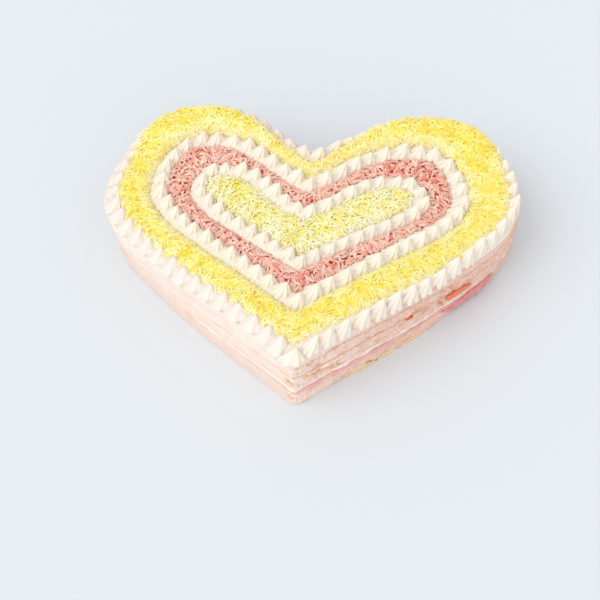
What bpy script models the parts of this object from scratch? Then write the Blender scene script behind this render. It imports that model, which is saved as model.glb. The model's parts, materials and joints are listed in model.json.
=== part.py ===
"""Heart shaped sandwich cake: bread slices with ham, cream and carrot between them, a cheese
slice at the foot, and on top three rows of piped stars round bands of cheese and ham shreds.
Metres, +Z up, the tip of the heart towards -Y, the origin under the middle of the cake."""

import math
import random

import bmesh
import bpy
import numpy as np
from mathutils import Matrix, Vector

# Plan outlines: the cake's edge and the centre lines of the two inner rows of stars
EDGE = dict(
    axis=0.0002,
    tip=-0.1128,
    notch=0.0632,
    right=(0.1432, 0.0342),
    left=(-0.1434, 0.0302),
    right_top=(0.0946, 0.1102),
    left_top=(-0.0934, 0.1152),
    tip_slope=37.0,
    notch_slope=34.0,
)
MIDDLE_ROW = dict(
    axis=-0.0013,
    tip=-0.0688,
    notch=0.0327,
    right=(0.1026, 0.0302),
    left=(-0.1074, 0.0362),
    right_top=(0.0786, 0.0722),
    left_top=(-0.0834, 0.0792),
    tip_slope=37.0,
    notch_slope=32.0,
)
INNER_ROW = dict(
    axis=-0.0023,
    tip=-0.0368,
    notch=0.0072,
    right=(0.0766, 0.0262),
    left=(-0.0784, 0.0322),
    right_top=(0.0626, 0.0412),
    left_top=(-0.0654, 0.0482),
    tip_slope=34.0,
    notch_slope=28.0,
)
# Lengths of the outline's Bezier handles, as shares of the side they bend
FLANK_LEAVE = 0.59
FLANK_ARRIVE = 0.15
SIDE_LEAVE = 0.55
TOP_ARRIVE = 0.58
TOP_LEAVE = 0.40
NOTCH_ARRIVE = 0.42

# Points on each side of an outline, how much finer it is worked out, and what is kept of that
FRONT_STEPS = 9
LOBE_STEPS = 9
NOTCH_STEPS = 7
FINE = 8
SLICE_KEEP = 10
BAND_KEEP = 6
CORNER_TURN = 0.35
TRIM_SHARE = 0.985
WELD = 0.000005
FLAT_ANGLE = 0.01

# How the stack sinks towards the sides of its lobes: factors on every height
SINK_AT = (0.040, 0.070, 0.100, 0.125)
SINK_TO = (1.000, 0.943, 0.841, 0.800)

# Heights of the layers at the tip, from the floor up
GAP = 0.0003
CHEESE_TOP = 0.0034
BREAD_BOTTOM_TOP = 0.0110
HAM_TOP = 0.0131
CREAM_LOWER_TOP = 0.0166
BREAD_SECOND_TOP = 0.0277
CARROT_TOP = 0.0294
BREAD_THIRD_TOP = 0.0379
CREAM_UPPER_TOP = 0.0389
BREAD_TOP_TOP = 0.0474
CREAM_TOP_TOP = 0.0500

# How far each layer's side stands in from the edge
BREAD_BOTTOM_IN = 0.0002
HAM_IN = 0.0001
CREAM_LOWER_IN = 0.0006
BREAD_SECOND_IN = 0.0003
CARROT_IN = 0.0012
BREAD_THIRD_IN = 0.0002
CREAM_UPPER_IN = 0.0018
BREAD_TOP_IN = 0.0005
CREAM_TOP_IN = 0.0010

# The cheese slice lies in from the edge, with tongues that reach it on the right front side
CHEESE_IN = 0.0080
TONGUES = ((0.0390, 0.0160), (0.0535, 0.0070), (0.0690, 0.0150))
TONGUE_REACH = 0.0120
TONGUE_BACK = 0.0003
CUT_BELOW = -0.0020

# The ham's flap, hanging over the bottom slice on the right
FLAP_FROM = 0.0930
FLAP_TO = 0.1270
FLAP_LOW = 0.0050
FLAP_THICK = 0.0011
FLAP_ROOT = 0.0040
FLAP_BELOW_TOP = 0.0002
FLAP_ROOT_IN = 0.0005
FLAP_KEEP = 4

# Carrot pieces at the sides: side, plan x, height, length, breadth, turn in degrees, layers
BITS = (
    ("carrot_slice", "right", 0.1020, 0.0236, 0.0240, 0.0064, 5.5, ("bread_second", "carrot_filling")),
    ("carrot_strand", "right", 0.0900, 0.0225, 0.0090, 0.0014, 62.0, ("bread_second",)),
    ("carrot_sliver", "right", 0.0690, 0.0270, 0.0060, 0.0016, 3.0, ("bread_second",)),
    ("carrot_bit_right_1", "right", 0.0085, 0.0245, 0.0085, 0.0030, 20.0, ("bread_second",)),
    ("carrot_bit_right_2", "right", 0.0195, 0.0225, 0.0105, 0.0022, 12.0, ("bread_second",)),
    ("carrot_bit_left_1", "left", -0.0038, 0.0225, 0.0050, 0.0030, 18.0, ("bread_second",)),
    ("carrot_bit_left_2", "left", -0.0040, 0.0075, 0.0050, 0.0026, 22.0, ("bread_bottom",)),
)
BIT_THICK = 0.0022
BIT_PROUD = 0.0007

# Piped stars: pitch along the row, radius and height
OUTER_STAR = dict(pitch=0.0128, radius=0.0063, height=0.0125)
MIDDLE_STAR = dict(pitch=0.0122, radius=0.0060, height=0.0125)
INNER_STAR = dict(pitch=0.0110, radius=0.0054, height=0.0120)
RIDGES = 5
VALLEY = 0.72
WAIST_AT = 0.42
WAIST = 0.74
WAIST_TWIST = 14.0
LEAN = (0.0016, 0.0008)
LEAN_RANGE = (0.4, 1.3)
UNEVEN = 0.07
BED_BEYOND = 0.0001
BED_THICK = 0.0009
FOOT_SUNK = 0.0004
EDGE_BED_OUT = 0.0007
HANG_FROM = 0.0001
HANG_NARROW = 0.62
HANG_BACK = 0.0025
HANG_AT = (0.010, 0.060, 0.110)
HANG_SLOPE = (0.20, 0.80, 1.10)
TIP_STAR_WIDE = 1.25
TIP_STAR_LOW = 0.80

# Shreds: core thickness, strip length, width, thickness and spacing
CHEESE_SHREDS = dict(core=0.0044, length=0.0125, width=0.0023, thick=0.0017, spacing=0.0142)
HAM_SHREDS = dict(core=0.0030, length=0.0090, width=0.0024, thick=0.0017, spacing=0.0124)
CENTRE_SHREDS = dict(core=0.0038, length=0.0110, width=0.0018, thick=0.0016, spacing=0.0114)
SHRED_MARGIN = 0.0017
SHRED_TILT = 9.0
SHRED_ROLL = 18.0
SHRED_LENGTHS = (0.75, 1.10)
SHRED_RISE = (0.05, 0.30)
SHRED_TRIES = 6000
ROW_CLEAR = 0.0009
SEED = 7


def clear_scene():
    for thing in list(bpy.data.objects):
        bpy.data.objects.remove(thing, do_unlink=True)


def new_collection(name, hidden=False):
    made = bpy.data.collections.new(name)
    bpy.context.scene.collection.children.link(made)
    made.hide_render = hidden
    return made


def material(name, colour, roughness):
    made = bpy.data.materials.new(name)
    made.use_nodes = True
    shader = made.node_tree.nodes["Principled BSDF"]
    shader.inputs["Base Color"].default_value = (*colour, 1.0)
    shader.inputs["Roughness"].default_value = roughness
    shader.inputs["Metallic"].default_value = 0.0
    return made


# Plan curves

def bezier(start, start_handle, end_handle, end, steps):
    """Points of one Bezier piece, without its end."""
    t = np.linspace(0.0, 1.0, steps, endpoint=False)[:, None]
    return (
        (1 - t) ** 3 * np.array(start)
        + 3 * (1 - t) ** 2 * t * np.array(start_handle)
        + 3 * (1 - t) * t * t * np.array(end_handle)
        + t**3 * np.array(end)
    )


def half_heart(plan, side, top, fine):
    """One side of a heart, from the tip to just before the notch."""
    tip = np.array((plan["axis"], plan["tip"]))
    notch = np.array((plan["axis"], plan["notch"]))
    side = np.array(side)
    top = np.array(top)
    hand = 1.0 if side[0] > tip[0] else -1.0
    tip_angle = math.radians(plan["tip_slope"])
    notch_angle = math.radians(plan["notch_slope"])
    leave = np.array((hand * math.cos(tip_angle), math.sin(tip_angle)))
    arrive = np.array((hand * math.cos(notch_angle), math.sin(notch_angle)))
    flank = np.linalg.norm(side - tip)
    rise = np.array((0.0, top[1] - side[1]))
    reach = np.array((side[0] - top[0], 0.0))
    dip = np.linalg.norm(notch - top)
    down = np.array((0.0, 1.0))
    across = np.array((hand, 0.0))
    return np.vstack(
        [
            bezier(
                tip,
                tip + leave * flank * FLANK_LEAVE,
                side - down * flank * FLANK_ARRIVE,
                side,
                FRONT_STEPS * fine,
            ),
            bezier(
                side,
                side + rise * SIDE_LEAVE,
                top + reach * TOP_ARRIVE,
                top,
                LOBE_STEPS * fine,
            ),
            bezier(
                top,
                top - across * dip * TOP_LEAVE,
                notch + arrive * dip * NOTCH_ARRIVE,
                notch,
                NOTCH_STEPS * fine,
            ),
        ]
    )


def heart(plan, fine=1):
    """Closed outline, anticlockwise from the tip."""
    right = half_heart(plan, plan["right"], plan["right_top"], fine)
    left = half_heart(plan, plan["left"], plan["left_top"], fine)
    notch = np.array([(plan["axis"], plan["notch"])])
    return np.vstack([right, notch, left[:0:-1]])


def corner_shifts(loop):
    """For each point, how it moves when every side of the outline moves outward by one."""
    ahead = np.roll(loop, -1, axis=0) - loop
    ahead /= np.linalg.norm(ahead, axis=1)[:, None]
    along = ahead + np.roll(ahead, 1, axis=0)
    along /= np.linalg.norm(along, axis=1)[:, None]
    outward = np.column_stack([along[:, 1], -along[:, 0]])
    return outward / (along * ahead).sum(axis=1)[:, None]


def distance_to(loop, points):
    """Distance of each point to the closed outline."""
    start = loop[None]
    span = np.roll(loop, -1, axis=0)[None] - start
    offset = points[:, None] - start
    t = np.clip((offset * span).sum(2) / (span**2).sum(2), 0.0, 1.0)
    return np.linalg.norm(offset - span * t[..., None], axis=2).min(axis=1)


def grown(loop, by):
    """The outline moved outward, or inward where by is negative, with its crossings trimmed."""
    moved = loop + corner_shifts(loop) * by
    return moved[distance_to(loop, moved) > abs(by) * TRIM_SHARE]


def thinned(loop, keep):
    """Every keep-th point of a fine outline, with its sharp corners kept."""
    ahead = np.roll(loop, -1, axis=0) - loop
    behind = loop - np.roll(loop, 1, axis=0)
    turn = np.abs(np.cross(ahead, behind)) / (
        np.linalg.norm(ahead, axis=1) * np.linalg.norm(behind, axis=1)
    )
    picked = (np.arange(len(loop)) % keep == 0) | (turn > CORNER_TURN)
    return loop[picked]


def plan_loop(plan, by=0.0, keep=FINE):
    fine = heart(plan, FINE)
    if by:
        fine = grown(fine, by)
    return thinned(fine, keep)


def along_loop(loop, pitch):
    """Evenly spaced (point, tangent) pairs from the tip on, about one pitch apart."""
    closed = np.vstack([loop, loop[:1]])
    steps = np.linalg.norm(np.diff(closed, axis=0), axis=1)
    travelled = np.concatenate([[0.0], np.cumsum(steps)])
    count = round(travelled[-1] / pitch)
    at = np.arange(count) * travelled[-1] / count
    points = np.column_stack([np.interp(at, travelled, closed[:, k]) for k in (0, 1)])
    near = np.column_stack([np.interp(at + pitch / 4, travelled, closed[:, k]) for k in (0, 1)])
    return list(zip(points, near - points))


def inside(loop, point):
    crossings = 0
    for (ax, ay), (bx, by) in zip(loop, np.roll(loop, -1, axis=0)):
        if (ay > point[1]) != (by > point[1]):
            crossings += point[0] < ax + (point[1] - ay) / (by - ay) * (bx - ax)
    return crossings % 2 == 1


# Heights

def sink(x):
    return float(np.interp(abs(x), SINK_AT, SINK_TO))


def top_at(x):
    return CREAM_TOP_TOP * sink(x)


def cut_at_sink_lines(bm):
    """Splits faces where the sinking changes slope, so that neighbouring layers stay parallel."""
    for at in SINK_AT:
        for side in (-1, 1):
            bmesh.ops.bisect_plane(
                bm,
                geom=bm.verts[:] + bm.edges[:] + bm.faces[:],
                plane_co=(side * at, 0.0, 0.0),
                plane_no=(1.0, 0.0, 0.0),
            )


# Solids

def add_object(name, mesh, into):
    made = bpy.data.objects.new(name, mesh)
    into.objects.link(made)
    return made


def baked(thing):
    """Replaces an object's mesh with its evaluated one."""
    bpy.context.view_layer.update()
    graph = bpy.context.evaluated_depsgraph_get()
    mesh = bpy.data.meshes.new_from_object(thing.evaluated_get(graph))
    thing.modifiers.clear()
    thing.data = mesh


def plate(name, loops, low, high, into, above=False):
    """A flat slab inside the outlines, from low to high at the tip and sinking with the cake.
    Where above is set, low and high are heights over the cake's top."""
    curve = bpy.data.curves.new(name, "CURVE")
    curve.dimensions = "2D"
    curve.fill_mode = "BOTH"
    curve.extrude = (high - low) / 2
    for loop in loops:
        spline = curve.splines.new("POLY")
        spline.points.add(len(loop) - 1)
        for point, (x, y) in zip(spline.points, loop):
            point.co = (x, y, 0.0, 1.0)
        spline.use_cyclic_u = True
    flat = add_object(name + "_curve", curve, into)
    bpy.context.view_layer.update()
    graph = bpy.context.evaluated_depsgraph_get()
    mesh = bpy.data.meshes.new_from_object(flat.evaluated_get(graph))
    bpy.data.objects.remove(flat, do_unlink=True)
    mesh.name = name
    bm = bmesh.new()
    bm.from_mesh(mesh)
    bmesh.ops.remove_doubles(bm, verts=bm.verts, dist=WELD)
    bmesh.ops.dissolve_limit(bm, angle_limit=FLAT_ANGLE, verts=bm.verts, edges=bm.edges)
    cut_at_sink_lines(bm)
    for vert in bm.verts:
        height = vert.co.z + (low + high) / 2
        vert.co.z = height + top_at(vert.co.x) if above else height * sink(vert.co.x)
    bmesh.ops.recalc_face_normals(bm, faces=bm.faces)
    bm.to_mesh(mesh)
    bm.free()
    return add_object(name, mesh, into)


def boolean(target, operation, other):
    """Joins or cuts target by an object or a collection, and applies it."""
    step = target.modifiers.new(operation.title(), "BOOLEAN")
    step.operation = operation
    step.solver = "EXACT"
    if isinstance(other, bpy.types.Collection):
        step.solver = "MANIFOLD"
        step.operand_type = "COLLECTION"
        step.collection = other
    else:
        step.object = other
    baked(target)


def empty_out(collection):
    for thing in list(collection.objects):
        bpy.data.objects.remove(thing, do_unlink=True)


def box(name, size, place, into):
    mesh = bpy.data.meshes.new(name)
    bm = bmesh.new()
    bmesh.ops.create_cube(bm, size=1.0, matrix=place @ Matrix.Diagonal((*size, 1.0)))
    bmesh.ops.recalc_face_normals(bm, faces=bm.faces)
    bm.to_mesh(mesh)
    bm.free()
    return add_object(name, mesh, into)


def side_place(plan_x, hand, height):
    """A frame on the side of the cake: X along the side away from the tip, Y outward, Z up."""
    loop = heart(EDGE, FINE)
    half = len(loop) // 2
    run = loop[:half] if hand == "right" else loop[:half:-1]
    front = run[: FRONT_STEPS * FINE]
    at = np.argmin(np.abs(front[:, 0] - plan_x))
    along = front[min(at + 1, len(front) - 1)] - front[at - 1]
    along = Vector((*along, 0.0)).normalized()
    up = Vector((0.0, 0.0, 1.0))
    outward = along.cross(up) if hand == "right" else up.cross(along)
    frame = Matrix((along, outward, up)).transposed().to_4x4()
    x, y = front[at]
    return Matrix.Translation((x, y, height * sink(x))) @ frame


# The stack

def add_slices(parts):
    """The layers from the foot up, each its own slab, with the gap that touching pieces keep."""
    stack = (
        ("bread_bottom", 0.0, BREAD_BOTTOM_TOP, BREAD_BOTTOM_IN),
        ("ham_slice", BREAD_BOTTOM_TOP + GAP, HAM_TOP, HAM_IN),
        ("cream_lower", HAM_TOP + GAP, CREAM_LOWER_TOP, CREAM_LOWER_IN),
        ("bread_second", CREAM_LOWER_TOP + GAP, BREAD_SECOND_TOP, BREAD_SECOND_IN),
        ("carrot_filling", BREAD_SECOND_TOP + GAP, CARROT_TOP, CARROT_IN),
        ("bread_third", CARROT_TOP + GAP, BREAD_THIRD_TOP, BREAD_THIRD_IN),
        ("cream_upper", BREAD_THIRD_TOP + GAP, CREAM_UPPER_TOP, CREAM_UPPER_IN),
        ("bread_top", CREAM_UPPER_TOP + GAP, BREAD_TOP_TOP, BREAD_TOP_IN),
        ("cream_top", BREAD_TOP_TOP + GAP, CREAM_TOP_TOP, CREAM_TOP_IN),
    )
    return {
        name: plate(name, [plan_loop(EDGE, -inset, SLICE_KEEP)], low, high, parts)
        for name, low, high, inset in stack
    }


def cheese_shape(name, grow, low, high, into, helpers):
    """The cheese slice with its tongues. The cutter for it is the same shape, grown a little."""
    shape = plate(name, [plan_loop(EDGE, grow - CHEESE_IN)], low, high, into)
    for plan_x, breadth in TONGUES:
        place = side_place(plan_x, "right", 0.0)
        inward = Matrix.Translation((0.0, (grow - TONGUE_REACH) / 2 - TONGUE_BACK, (low + high) / 2))
        size = (breadth + 2 * grow, TONGUE_REACH + grow, high - low)
        box("tongue", size, place @ inward, helpers)
    boolean(shape, "UNION", helpers)
    empty_out(helpers)
    return shape


def add_cheese(parts, cutters, helpers, slices):
    slices["cheese_slice"] = cheese_shape("cheese_slice", 0.0, 0.0, CHEESE_TOP, parts, helpers)
    cutter = cheese_shape("cheese_room", GAP, CUT_BELOW, CHEESE_TOP + GAP, cutters, helpers)
    cutter.display_type = "WIRE"
    boolean(slices["bread_bottom"], "DIFFERENCE", cutter)


def add_flap(slices, helpers):
    """Ham that hangs over the side of the bottom slice."""
    loop = heart(EDGE, FINE)
    front = loop[: FRONT_STEPS * FINE]
    outward = corner_shifts(loop)[: FRONT_STEPS * FINE]
    picked = (front[:, 0] > FLAP_FROM) & (front[:, 0] < FLAP_TO)
    inner = (front + outward * GAP)[picked][::FLAP_KEEP]
    outer = (front + outward * (GAP + FLAP_THICK))[picked][::FLAP_KEEP]
    root = (front - outward * FLAP_ROOT)[picked][::FLAP_KEEP]
    hanging = np.vstack([outer, inner[::-1]])
    joining = np.vstack([outer, root[::-1]])
    top = HAM_TOP - FLAP_BELOW_TOP
    plate("flap", [hanging], FLAP_LOW, top, helpers)
    root_low = BREAD_BOTTOM_TOP + FLAP_ROOT_IN
    plate("flap_root", [joining], root_low, top - FLAP_BELOW_TOP, helpers)
    boolean(slices["ham_slice"], "UNION", helpers)
    empty_out(helpers)


def add_bits(parts, cutters, slices):
    """Pieces of carrot that stand out of the side, each in a pocket of its own."""
    made = {}
    for name, hand, plan_x, height, length, breadth, turn, layers in BITS:
        place = side_place(plan_x, hand, height)
        place = place @ Matrix.Translation((0.0, BIT_PROUD - BIT_THICK / 2, 0.0))
        place = place @ Matrix.Rotation(math.radians(turn), 4, "Y")
        made[name] = box(name, (length, BIT_THICK, breadth), place, parts)
        room = (length + 2 * GAP, BIT_THICK + 2 * GAP, breadth + 2 * GAP)
        cutter = box(name + "_room", room, place, cutters)
        cutter.display_type = "WIRE"
        for layer in layers:
            boolean(slices[layer], "DIFFERENCE", cutter)
    return made


# Piped stars

def star(name, radius, height, turn, into):
    """A cone with ridges at its foot that twist into a narrower waist, and a pulled tip. Its
    foot is at the origin, split along Y into two flat halves."""
    bm = bmesh.new()
    waist = WAIST_AT * height
    bmesh.ops.create_cone(
        bm,
        cap_ends=True,
        cap_tris=False,
        segments=2 * RIDGES,
        radius1=radius,
        radius2=radius * WAIST,
        depth=waist,
        matrix=Matrix.Translation((0.0, 0.0, waist / 2)),
    )
    crown = max(bm.faces, key=lambda face: face.calc_center_median().z)
    tip = bmesh.ops.poke(bm, faces=[crown])["verts"][0]
    foot = {}
    belt = {}
    for vert in bm.verts:
        if vert is not tip:
            angle = math.atan2(vert.co.y, vert.co.x) - math.pi / 2
            number = round(angle / math.pi * RIDGES) % (2 * RIDGES)
            (belt if vert.co.z > waist / 2 else foot)[number] = vert
    bmesh.ops.connect_verts(bm, verts=[foot[0], foot[RIDGES]])
    for number, vert in foot.items():
        if number % 2:
            vert.co *= VALLEY
    twist = Matrix.Rotation(math.radians(WAIST_TWIST), 3, "Z")
    for vert in belt.values():
        vert.co = twist @ vert.co
    merged = {belt[number + 1]: belt[number] for number in range(0, 2 * RIDGES, 2)}
    bmesh.ops.weld_verts(bm, targetmap=merged)
    tip.co.z = height
    bmesh.ops.rotate(bm, verts=bm.verts, matrix=Matrix.Rotation(turn, 3, "Z"))
    mesh = bpy.data.meshes.new(name)
    bm.to_mesh(mesh)
    bm.free()
    return add_object(name, mesh, into)


def hang_over(thing, slope):
    """Narrows the half of a star that is beyond the cake's edge, ahead of it along X, lets its
    foot hang down there, and draws its tip back over the cake."""
    tall = max(vert.co.z for vert in thing.data.vertices)
    for vert in thing.data.vertices:
        if vert.co.x > HANG_FROM:
            vert.co.x *= HANG_NARROW
            vert.co.z -= vert.co.x * slope * (1.0 - vert.co.z / tall)
        vert.co.x -= HANG_BACK * max(0.0, vert.co.z / tall)


def set_star(thing, point, along, draw):
    """Stands a star on the top of the cake, its tip leaning to the right and back."""
    outward = Vector((along[1], -along[0], 0.0)).normalized()
    turned = Matrix.Rotation(math.atan2(outward.y, outward.x), 3, "Z")
    tall = max(vert.co.z for vert in thing.data.vertices)
    lean = Vector((LEAN[0], LEAN[1], 0.0)) * draw.uniform(*LEAN_RANGE)
    for vert in thing.data.vertices:
        share = max(0.0, vert.co.z / tall) ** 2
        co = turned @ vert.co + lean * share
        co.x += point[0]
        co.y += point[1]
        co.z += top_at(co.x) + GAP + FOOT_SUNK
        vert.co = co


def piped_row(name, loop, kind, parts, helpers, draw, hanging=False):
    """Stars side by side along a closed line, joined by the thin bed of cream under them. At
    the cake's edge the bed stops and the stars hang over."""
    for number, (point, along) in enumerate(along_loop(loop, kind["pitch"])):
        radius = kind["radius"] * draw.uniform(1 - UNEVEN, 1.0)
        height = kind["height"] * draw.uniform(1 - UNEVEN, 1.0)
        if hanging and number == 0:
            radius *= TIP_STAR_WIDE
            height *= TIP_STAR_LOW
        turn = 0.0 if hanging else draw.uniform(0.0, 2 * math.pi / RIDGES)
        made = star(f"star_{number}", radius, height, turn, helpers)
        if hanging:
            hang_over(made, float(np.interp(abs(point[0]), HANG_AT, HANG_SLOPE)))
        set_star(made, point, along, draw)
    reach = kind["radius"] + BED_BEYOND
    outer = grown(loop, EDGE_BED_OUT if hanging else reach)
    bed = [thinned(outer, FINE), thinned(grown(loop, -reach), FINE)]
    row = plate(name, bed, GAP, GAP + BED_THICK, parts, above=True)
    boolean(row, "UNION", helpers)
    empty_out(helpers)
    return row


def add_rows(parts, helpers):
    draw = random.Random(SEED)
    edge = grown(heart(EDGE, FINE), GAP)
    outer = piped_row("stars_outer", edge, OUTER_STAR, parts, helpers, draw, hanging=True)
    middle = piped_row("stars_middle", heart(MIDDLE_ROW, FINE), MIDDLE_STAR, parts, helpers, draw)
    inner = piped_row("stars_inner", heart(INNER_ROW, FINE), INNER_STAR, parts, helpers, draw)
    return {"stars_outer": outer, "stars_middle": middle, "stars_inner": inner}


# Shreds

def shred_places(loops, kind, draw):
    """Spots for strips, evenly spread by throwing darts, each with a direction that keeps both
    ends of its strip inside the band."""
    outer = loops[0]
    low, high = outer.min(axis=0), outer.max(axis=0)
    found = []
    for _ in range(SHRED_TRIES):
        spot = np.array([draw.uniform(low[k], high[k]) for k in (0, 1)])
        if any(np.linalg.norm(spot - other) < kind["spacing"] for other, _, _ in found):
            continue
        if sum(inside(loop, spot) for loop in loops) != 1:
            continue
        length = kind["length"] * draw.uniform(*SHRED_LENGTHS)
        angle = draw.uniform(0.0, math.pi)
        half = np.array((math.cos(angle), math.sin(angle))) * length / 2
        ends = np.array([spot - half, spot, spot + half])
        if sum(inside(loop, end) for loop in loops for end in (ends[0], ends[2])) != 2:
            continue
        if min(distance_to(loop, ends).min() for loop in loops) < SHRED_MARGIN:
            continue
        found.append((spot, angle, length))
    return found


def shred_band(name, loops, kind, parts, helpers, draw):
    """A low core out to the band's edges with strips fused on."""
    core = plate(name, loops, GAP, GAP + kind["core"], parts, above=True)
    for number, (spot, angle, length) in enumerate(shred_places(loops, kind, draw)):
        height = top_at(spot[0]) + GAP + kind["core"] + kind["thick"] * draw.uniform(*SHRED_RISE)
        place = Matrix.Translation((*spot, height)) @ Matrix.Rotation(angle, 4, "Z")
        tilt = math.radians(draw.uniform(-SHRED_TILT, SHRED_TILT))
        roll = math.radians(draw.uniform(-SHRED_ROLL, SHRED_ROLL))
        place = place @ Matrix.Rotation(tilt, 4, "Y") @ Matrix.Rotation(roll, 4, "X")
        box(f"shred_{number}", (length, kind["width"], kind["thick"]), place, helpers)
    boolean(core, "UNION", helpers)
    empty_out(helpers)
    return core


def add_bands(parts, helpers):
    draw = random.Random(SEED + 1)
    middle_clear = MIDDLE_STAR["radius"] + ROW_CLEAR
    inner_clear = INNER_STAR["radius"] + ROW_CLEAR
    outer_clear = OUTER_STAR["radius"] + ROW_CLEAR
    cheese = [plan_loop(EDGE, -outer_clear, BAND_KEEP), plan_loop(MIDDLE_ROW, middle_clear, BAND_KEEP)]
    ham = [plan_loop(MIDDLE_ROW, -middle_clear, BAND_KEEP), plan_loop(INNER_ROW, inner_clear, BAND_KEEP)]
    centre = [plan_loop(INNER_ROW, -inner_clear, BAND_KEEP)]
    return {
        "shreds_cheese": shred_band("shreds_cheese", cheese, CHEESE_SHREDS, parts, helpers, draw),
        "shreds_ham": shred_band("shreds_ham", ham, HAM_SHREDS, parts, helpers, draw),
        "shreds_centre": shred_band("shreds_centre", centre, CENTRE_SHREDS, parts, helpers, draw),
    }


def paint(things):
    bread = material("bread", (0.86, 0.76, 0.66), 0.85)
    ham = material("ham", (0.72, 0.36, 0.34), 0.45)
    cream = material("cream", (0.93, 0.88, 0.78), 0.40)
    carrot = material("carrot", (0.80, 0.20, 0.06), 0.45)
    cheese = material("cheese", (0.92, 0.74, 0.22), 0.50)
    pale = material("pale_cheese", (0.88, 0.87, 0.50), 0.50)
    chosen = {
        "bread": bread,
        "ham": ham,
        "shreds_ham": ham,
        "cream": cream,
        "stars": cream,
        "carrot": carrot,
        "cheese": cheese,
        "shreds_cheese": cheese,
        "shreds_centre": pale,
    }
    for name, thing in things.items():
        key = name if name in chosen else name.split("_")[0]
        thing.data.materials.clear()
        thing.data.materials.append(chosen[key])


def main():
    clear_scene()
    parts = new_collection("heart_cake")
    cutters = new_collection("cutters", hidden=True)
    helpers = new_collection("helpers")
    things = add_slices(parts)
    add_cheese(parts, cutters, helpers, things)
    add_flap(things, helpers)
    things.update(add_bits(parts, cutters, things))
    things.update(add_rows(parts, helpers))
    things.update(add_bands(parts, helpers))
    paint(things)
    empty_out(cutters)


main()
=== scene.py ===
import json
import math
import random

import bmesh
import bpy
import numpy as np
from mathutils import Matrix, Vector
from mathutils.geometry import delaunay_2d_cdt
from mathutils.kdtree import KDTree

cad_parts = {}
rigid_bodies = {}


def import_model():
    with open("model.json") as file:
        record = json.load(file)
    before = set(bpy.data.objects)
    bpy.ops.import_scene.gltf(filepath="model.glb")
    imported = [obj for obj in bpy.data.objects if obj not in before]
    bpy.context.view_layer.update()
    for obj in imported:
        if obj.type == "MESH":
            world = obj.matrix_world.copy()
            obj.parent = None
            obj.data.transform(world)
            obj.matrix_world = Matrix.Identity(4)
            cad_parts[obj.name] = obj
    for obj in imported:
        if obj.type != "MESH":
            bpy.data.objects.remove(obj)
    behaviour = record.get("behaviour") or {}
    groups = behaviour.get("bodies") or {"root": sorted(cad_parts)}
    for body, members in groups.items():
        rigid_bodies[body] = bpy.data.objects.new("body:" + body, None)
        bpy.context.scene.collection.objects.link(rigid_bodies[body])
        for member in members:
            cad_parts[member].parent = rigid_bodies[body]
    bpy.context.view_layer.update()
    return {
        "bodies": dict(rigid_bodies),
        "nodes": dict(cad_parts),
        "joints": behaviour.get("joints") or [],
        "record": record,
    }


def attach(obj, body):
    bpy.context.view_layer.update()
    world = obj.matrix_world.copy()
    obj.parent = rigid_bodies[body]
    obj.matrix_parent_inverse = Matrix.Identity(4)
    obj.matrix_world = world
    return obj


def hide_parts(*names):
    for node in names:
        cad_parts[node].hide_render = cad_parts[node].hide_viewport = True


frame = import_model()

# Plan outlines: the cake's edge and the centre lines of the two inner rows of stars
EDGE = dict(
    axis=0.0002, tip=-0.1128, notch=0.0632,
    right=(0.1432, 0.0342), left=(-0.1434, 0.0302),
    right_top=(0.0946, 0.1102), left_top=(-0.0934, 0.1152),
    tip_slope=37.0, notch_slope=34.0,
)
MIDDLE_ROW = dict(
    axis=-0.0013, tip=-0.0688, notch=0.0327,
    right=(0.1026, 0.0302), left=(-0.1074, 0.0362),
    right_top=(0.0786, 0.0722), left_top=(-0.0834, 0.0792),
    tip_slope=37.0, notch_slope=32.0,
)
INNER_ROW = dict(
    axis=-0.0023, tip=-0.0368, notch=0.0072,
    right=(0.0766, 0.0262), left=(-0.0784, 0.0322),
    right_top=(0.0626, 0.0412), left_top=(-0.0654, 0.0482),
    tip_slope=34.0, notch_slope=28.0,
)
FLANK_LEAVE, FLANK_ARRIVE = 0.59, 0.15
SIDE_LEAVE, TOP_ARRIVE = 0.55, 0.58
TOP_LEAVE, NOTCH_ARRIVE = 0.40, 0.42
CURVE_STEPS = 90

# Points of a moved outline that come nearer to the old one than this share of the move are cut out
CROSSING_SHARE, FINE_STEP = 0.98, 0.0003

# How the stack sinks towards the sides of its lobes
SINK_AT = (0.040, 0.070, 0.100, 0.125)
SINK_TO = (1.000, 0.943, 0.841, 0.800)

# Layers: low and high at the tip, and how far the side stands in from the edge
CHEESE = (0.0000, 0.0033, 0.0080)
BREAD_BOTTOM = (0.0002, 0.0108, 0.0002)
HAM = (0.0108, 0.0137, 0.0001)
CREAM_LOWER = (0.0137, 0.0168, 0.0006)
BREAD_SECOND = (0.0168, 0.0279, 0.0003)
CARROT = (0.0279, 0.0296, 0.0009)
BREAD_THIRD = (0.0296, 0.0381, 0.0002)
CREAM_UPPER = (0.0381, 0.0391, 0.0012)
BREAD_TOP = (0.0391, 0.0476, 0.0005)
CREAM_TOP = (0.0476, 0.0500, 0.0010)
TOP = CREAM_TOP[1]
SIDE_STEP = 0.0005
SIDE_ROW = 0.0006
CORNER, CORNER_SOFT, CORNER_LEAST = 0.0006, 0.0003, 0.0002
TIP_SOFT = 0.0036
# Relief depth at which the crumb's painted shade in hollows and seams is at its fullest
DEEPEST = 0.0014

# Where the right half gives way to the left one
LEFT_FROM, LEFT_TO = 0.004, -0.014

# How far the upper slices reach over the lower ones at the lobes, from where, and over how much
LOBE_LEAN = 0.0050
LEAN_LEFT_FROM, LEAN_LEFT_OVER = 0.055, 0.050
LEAN_RIGHT_FROM, LEAN_RIGHT_OVER, LEAN_RIGHT_SHARE = 0.085, 0.040, 0.6
LEAN_LEVEL = 0.45

# Where the back of the lobes begins, with the shreds heaped up to the outer stars
BACK_FROM, BACK_OVER = 0.060, 0.030

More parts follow.
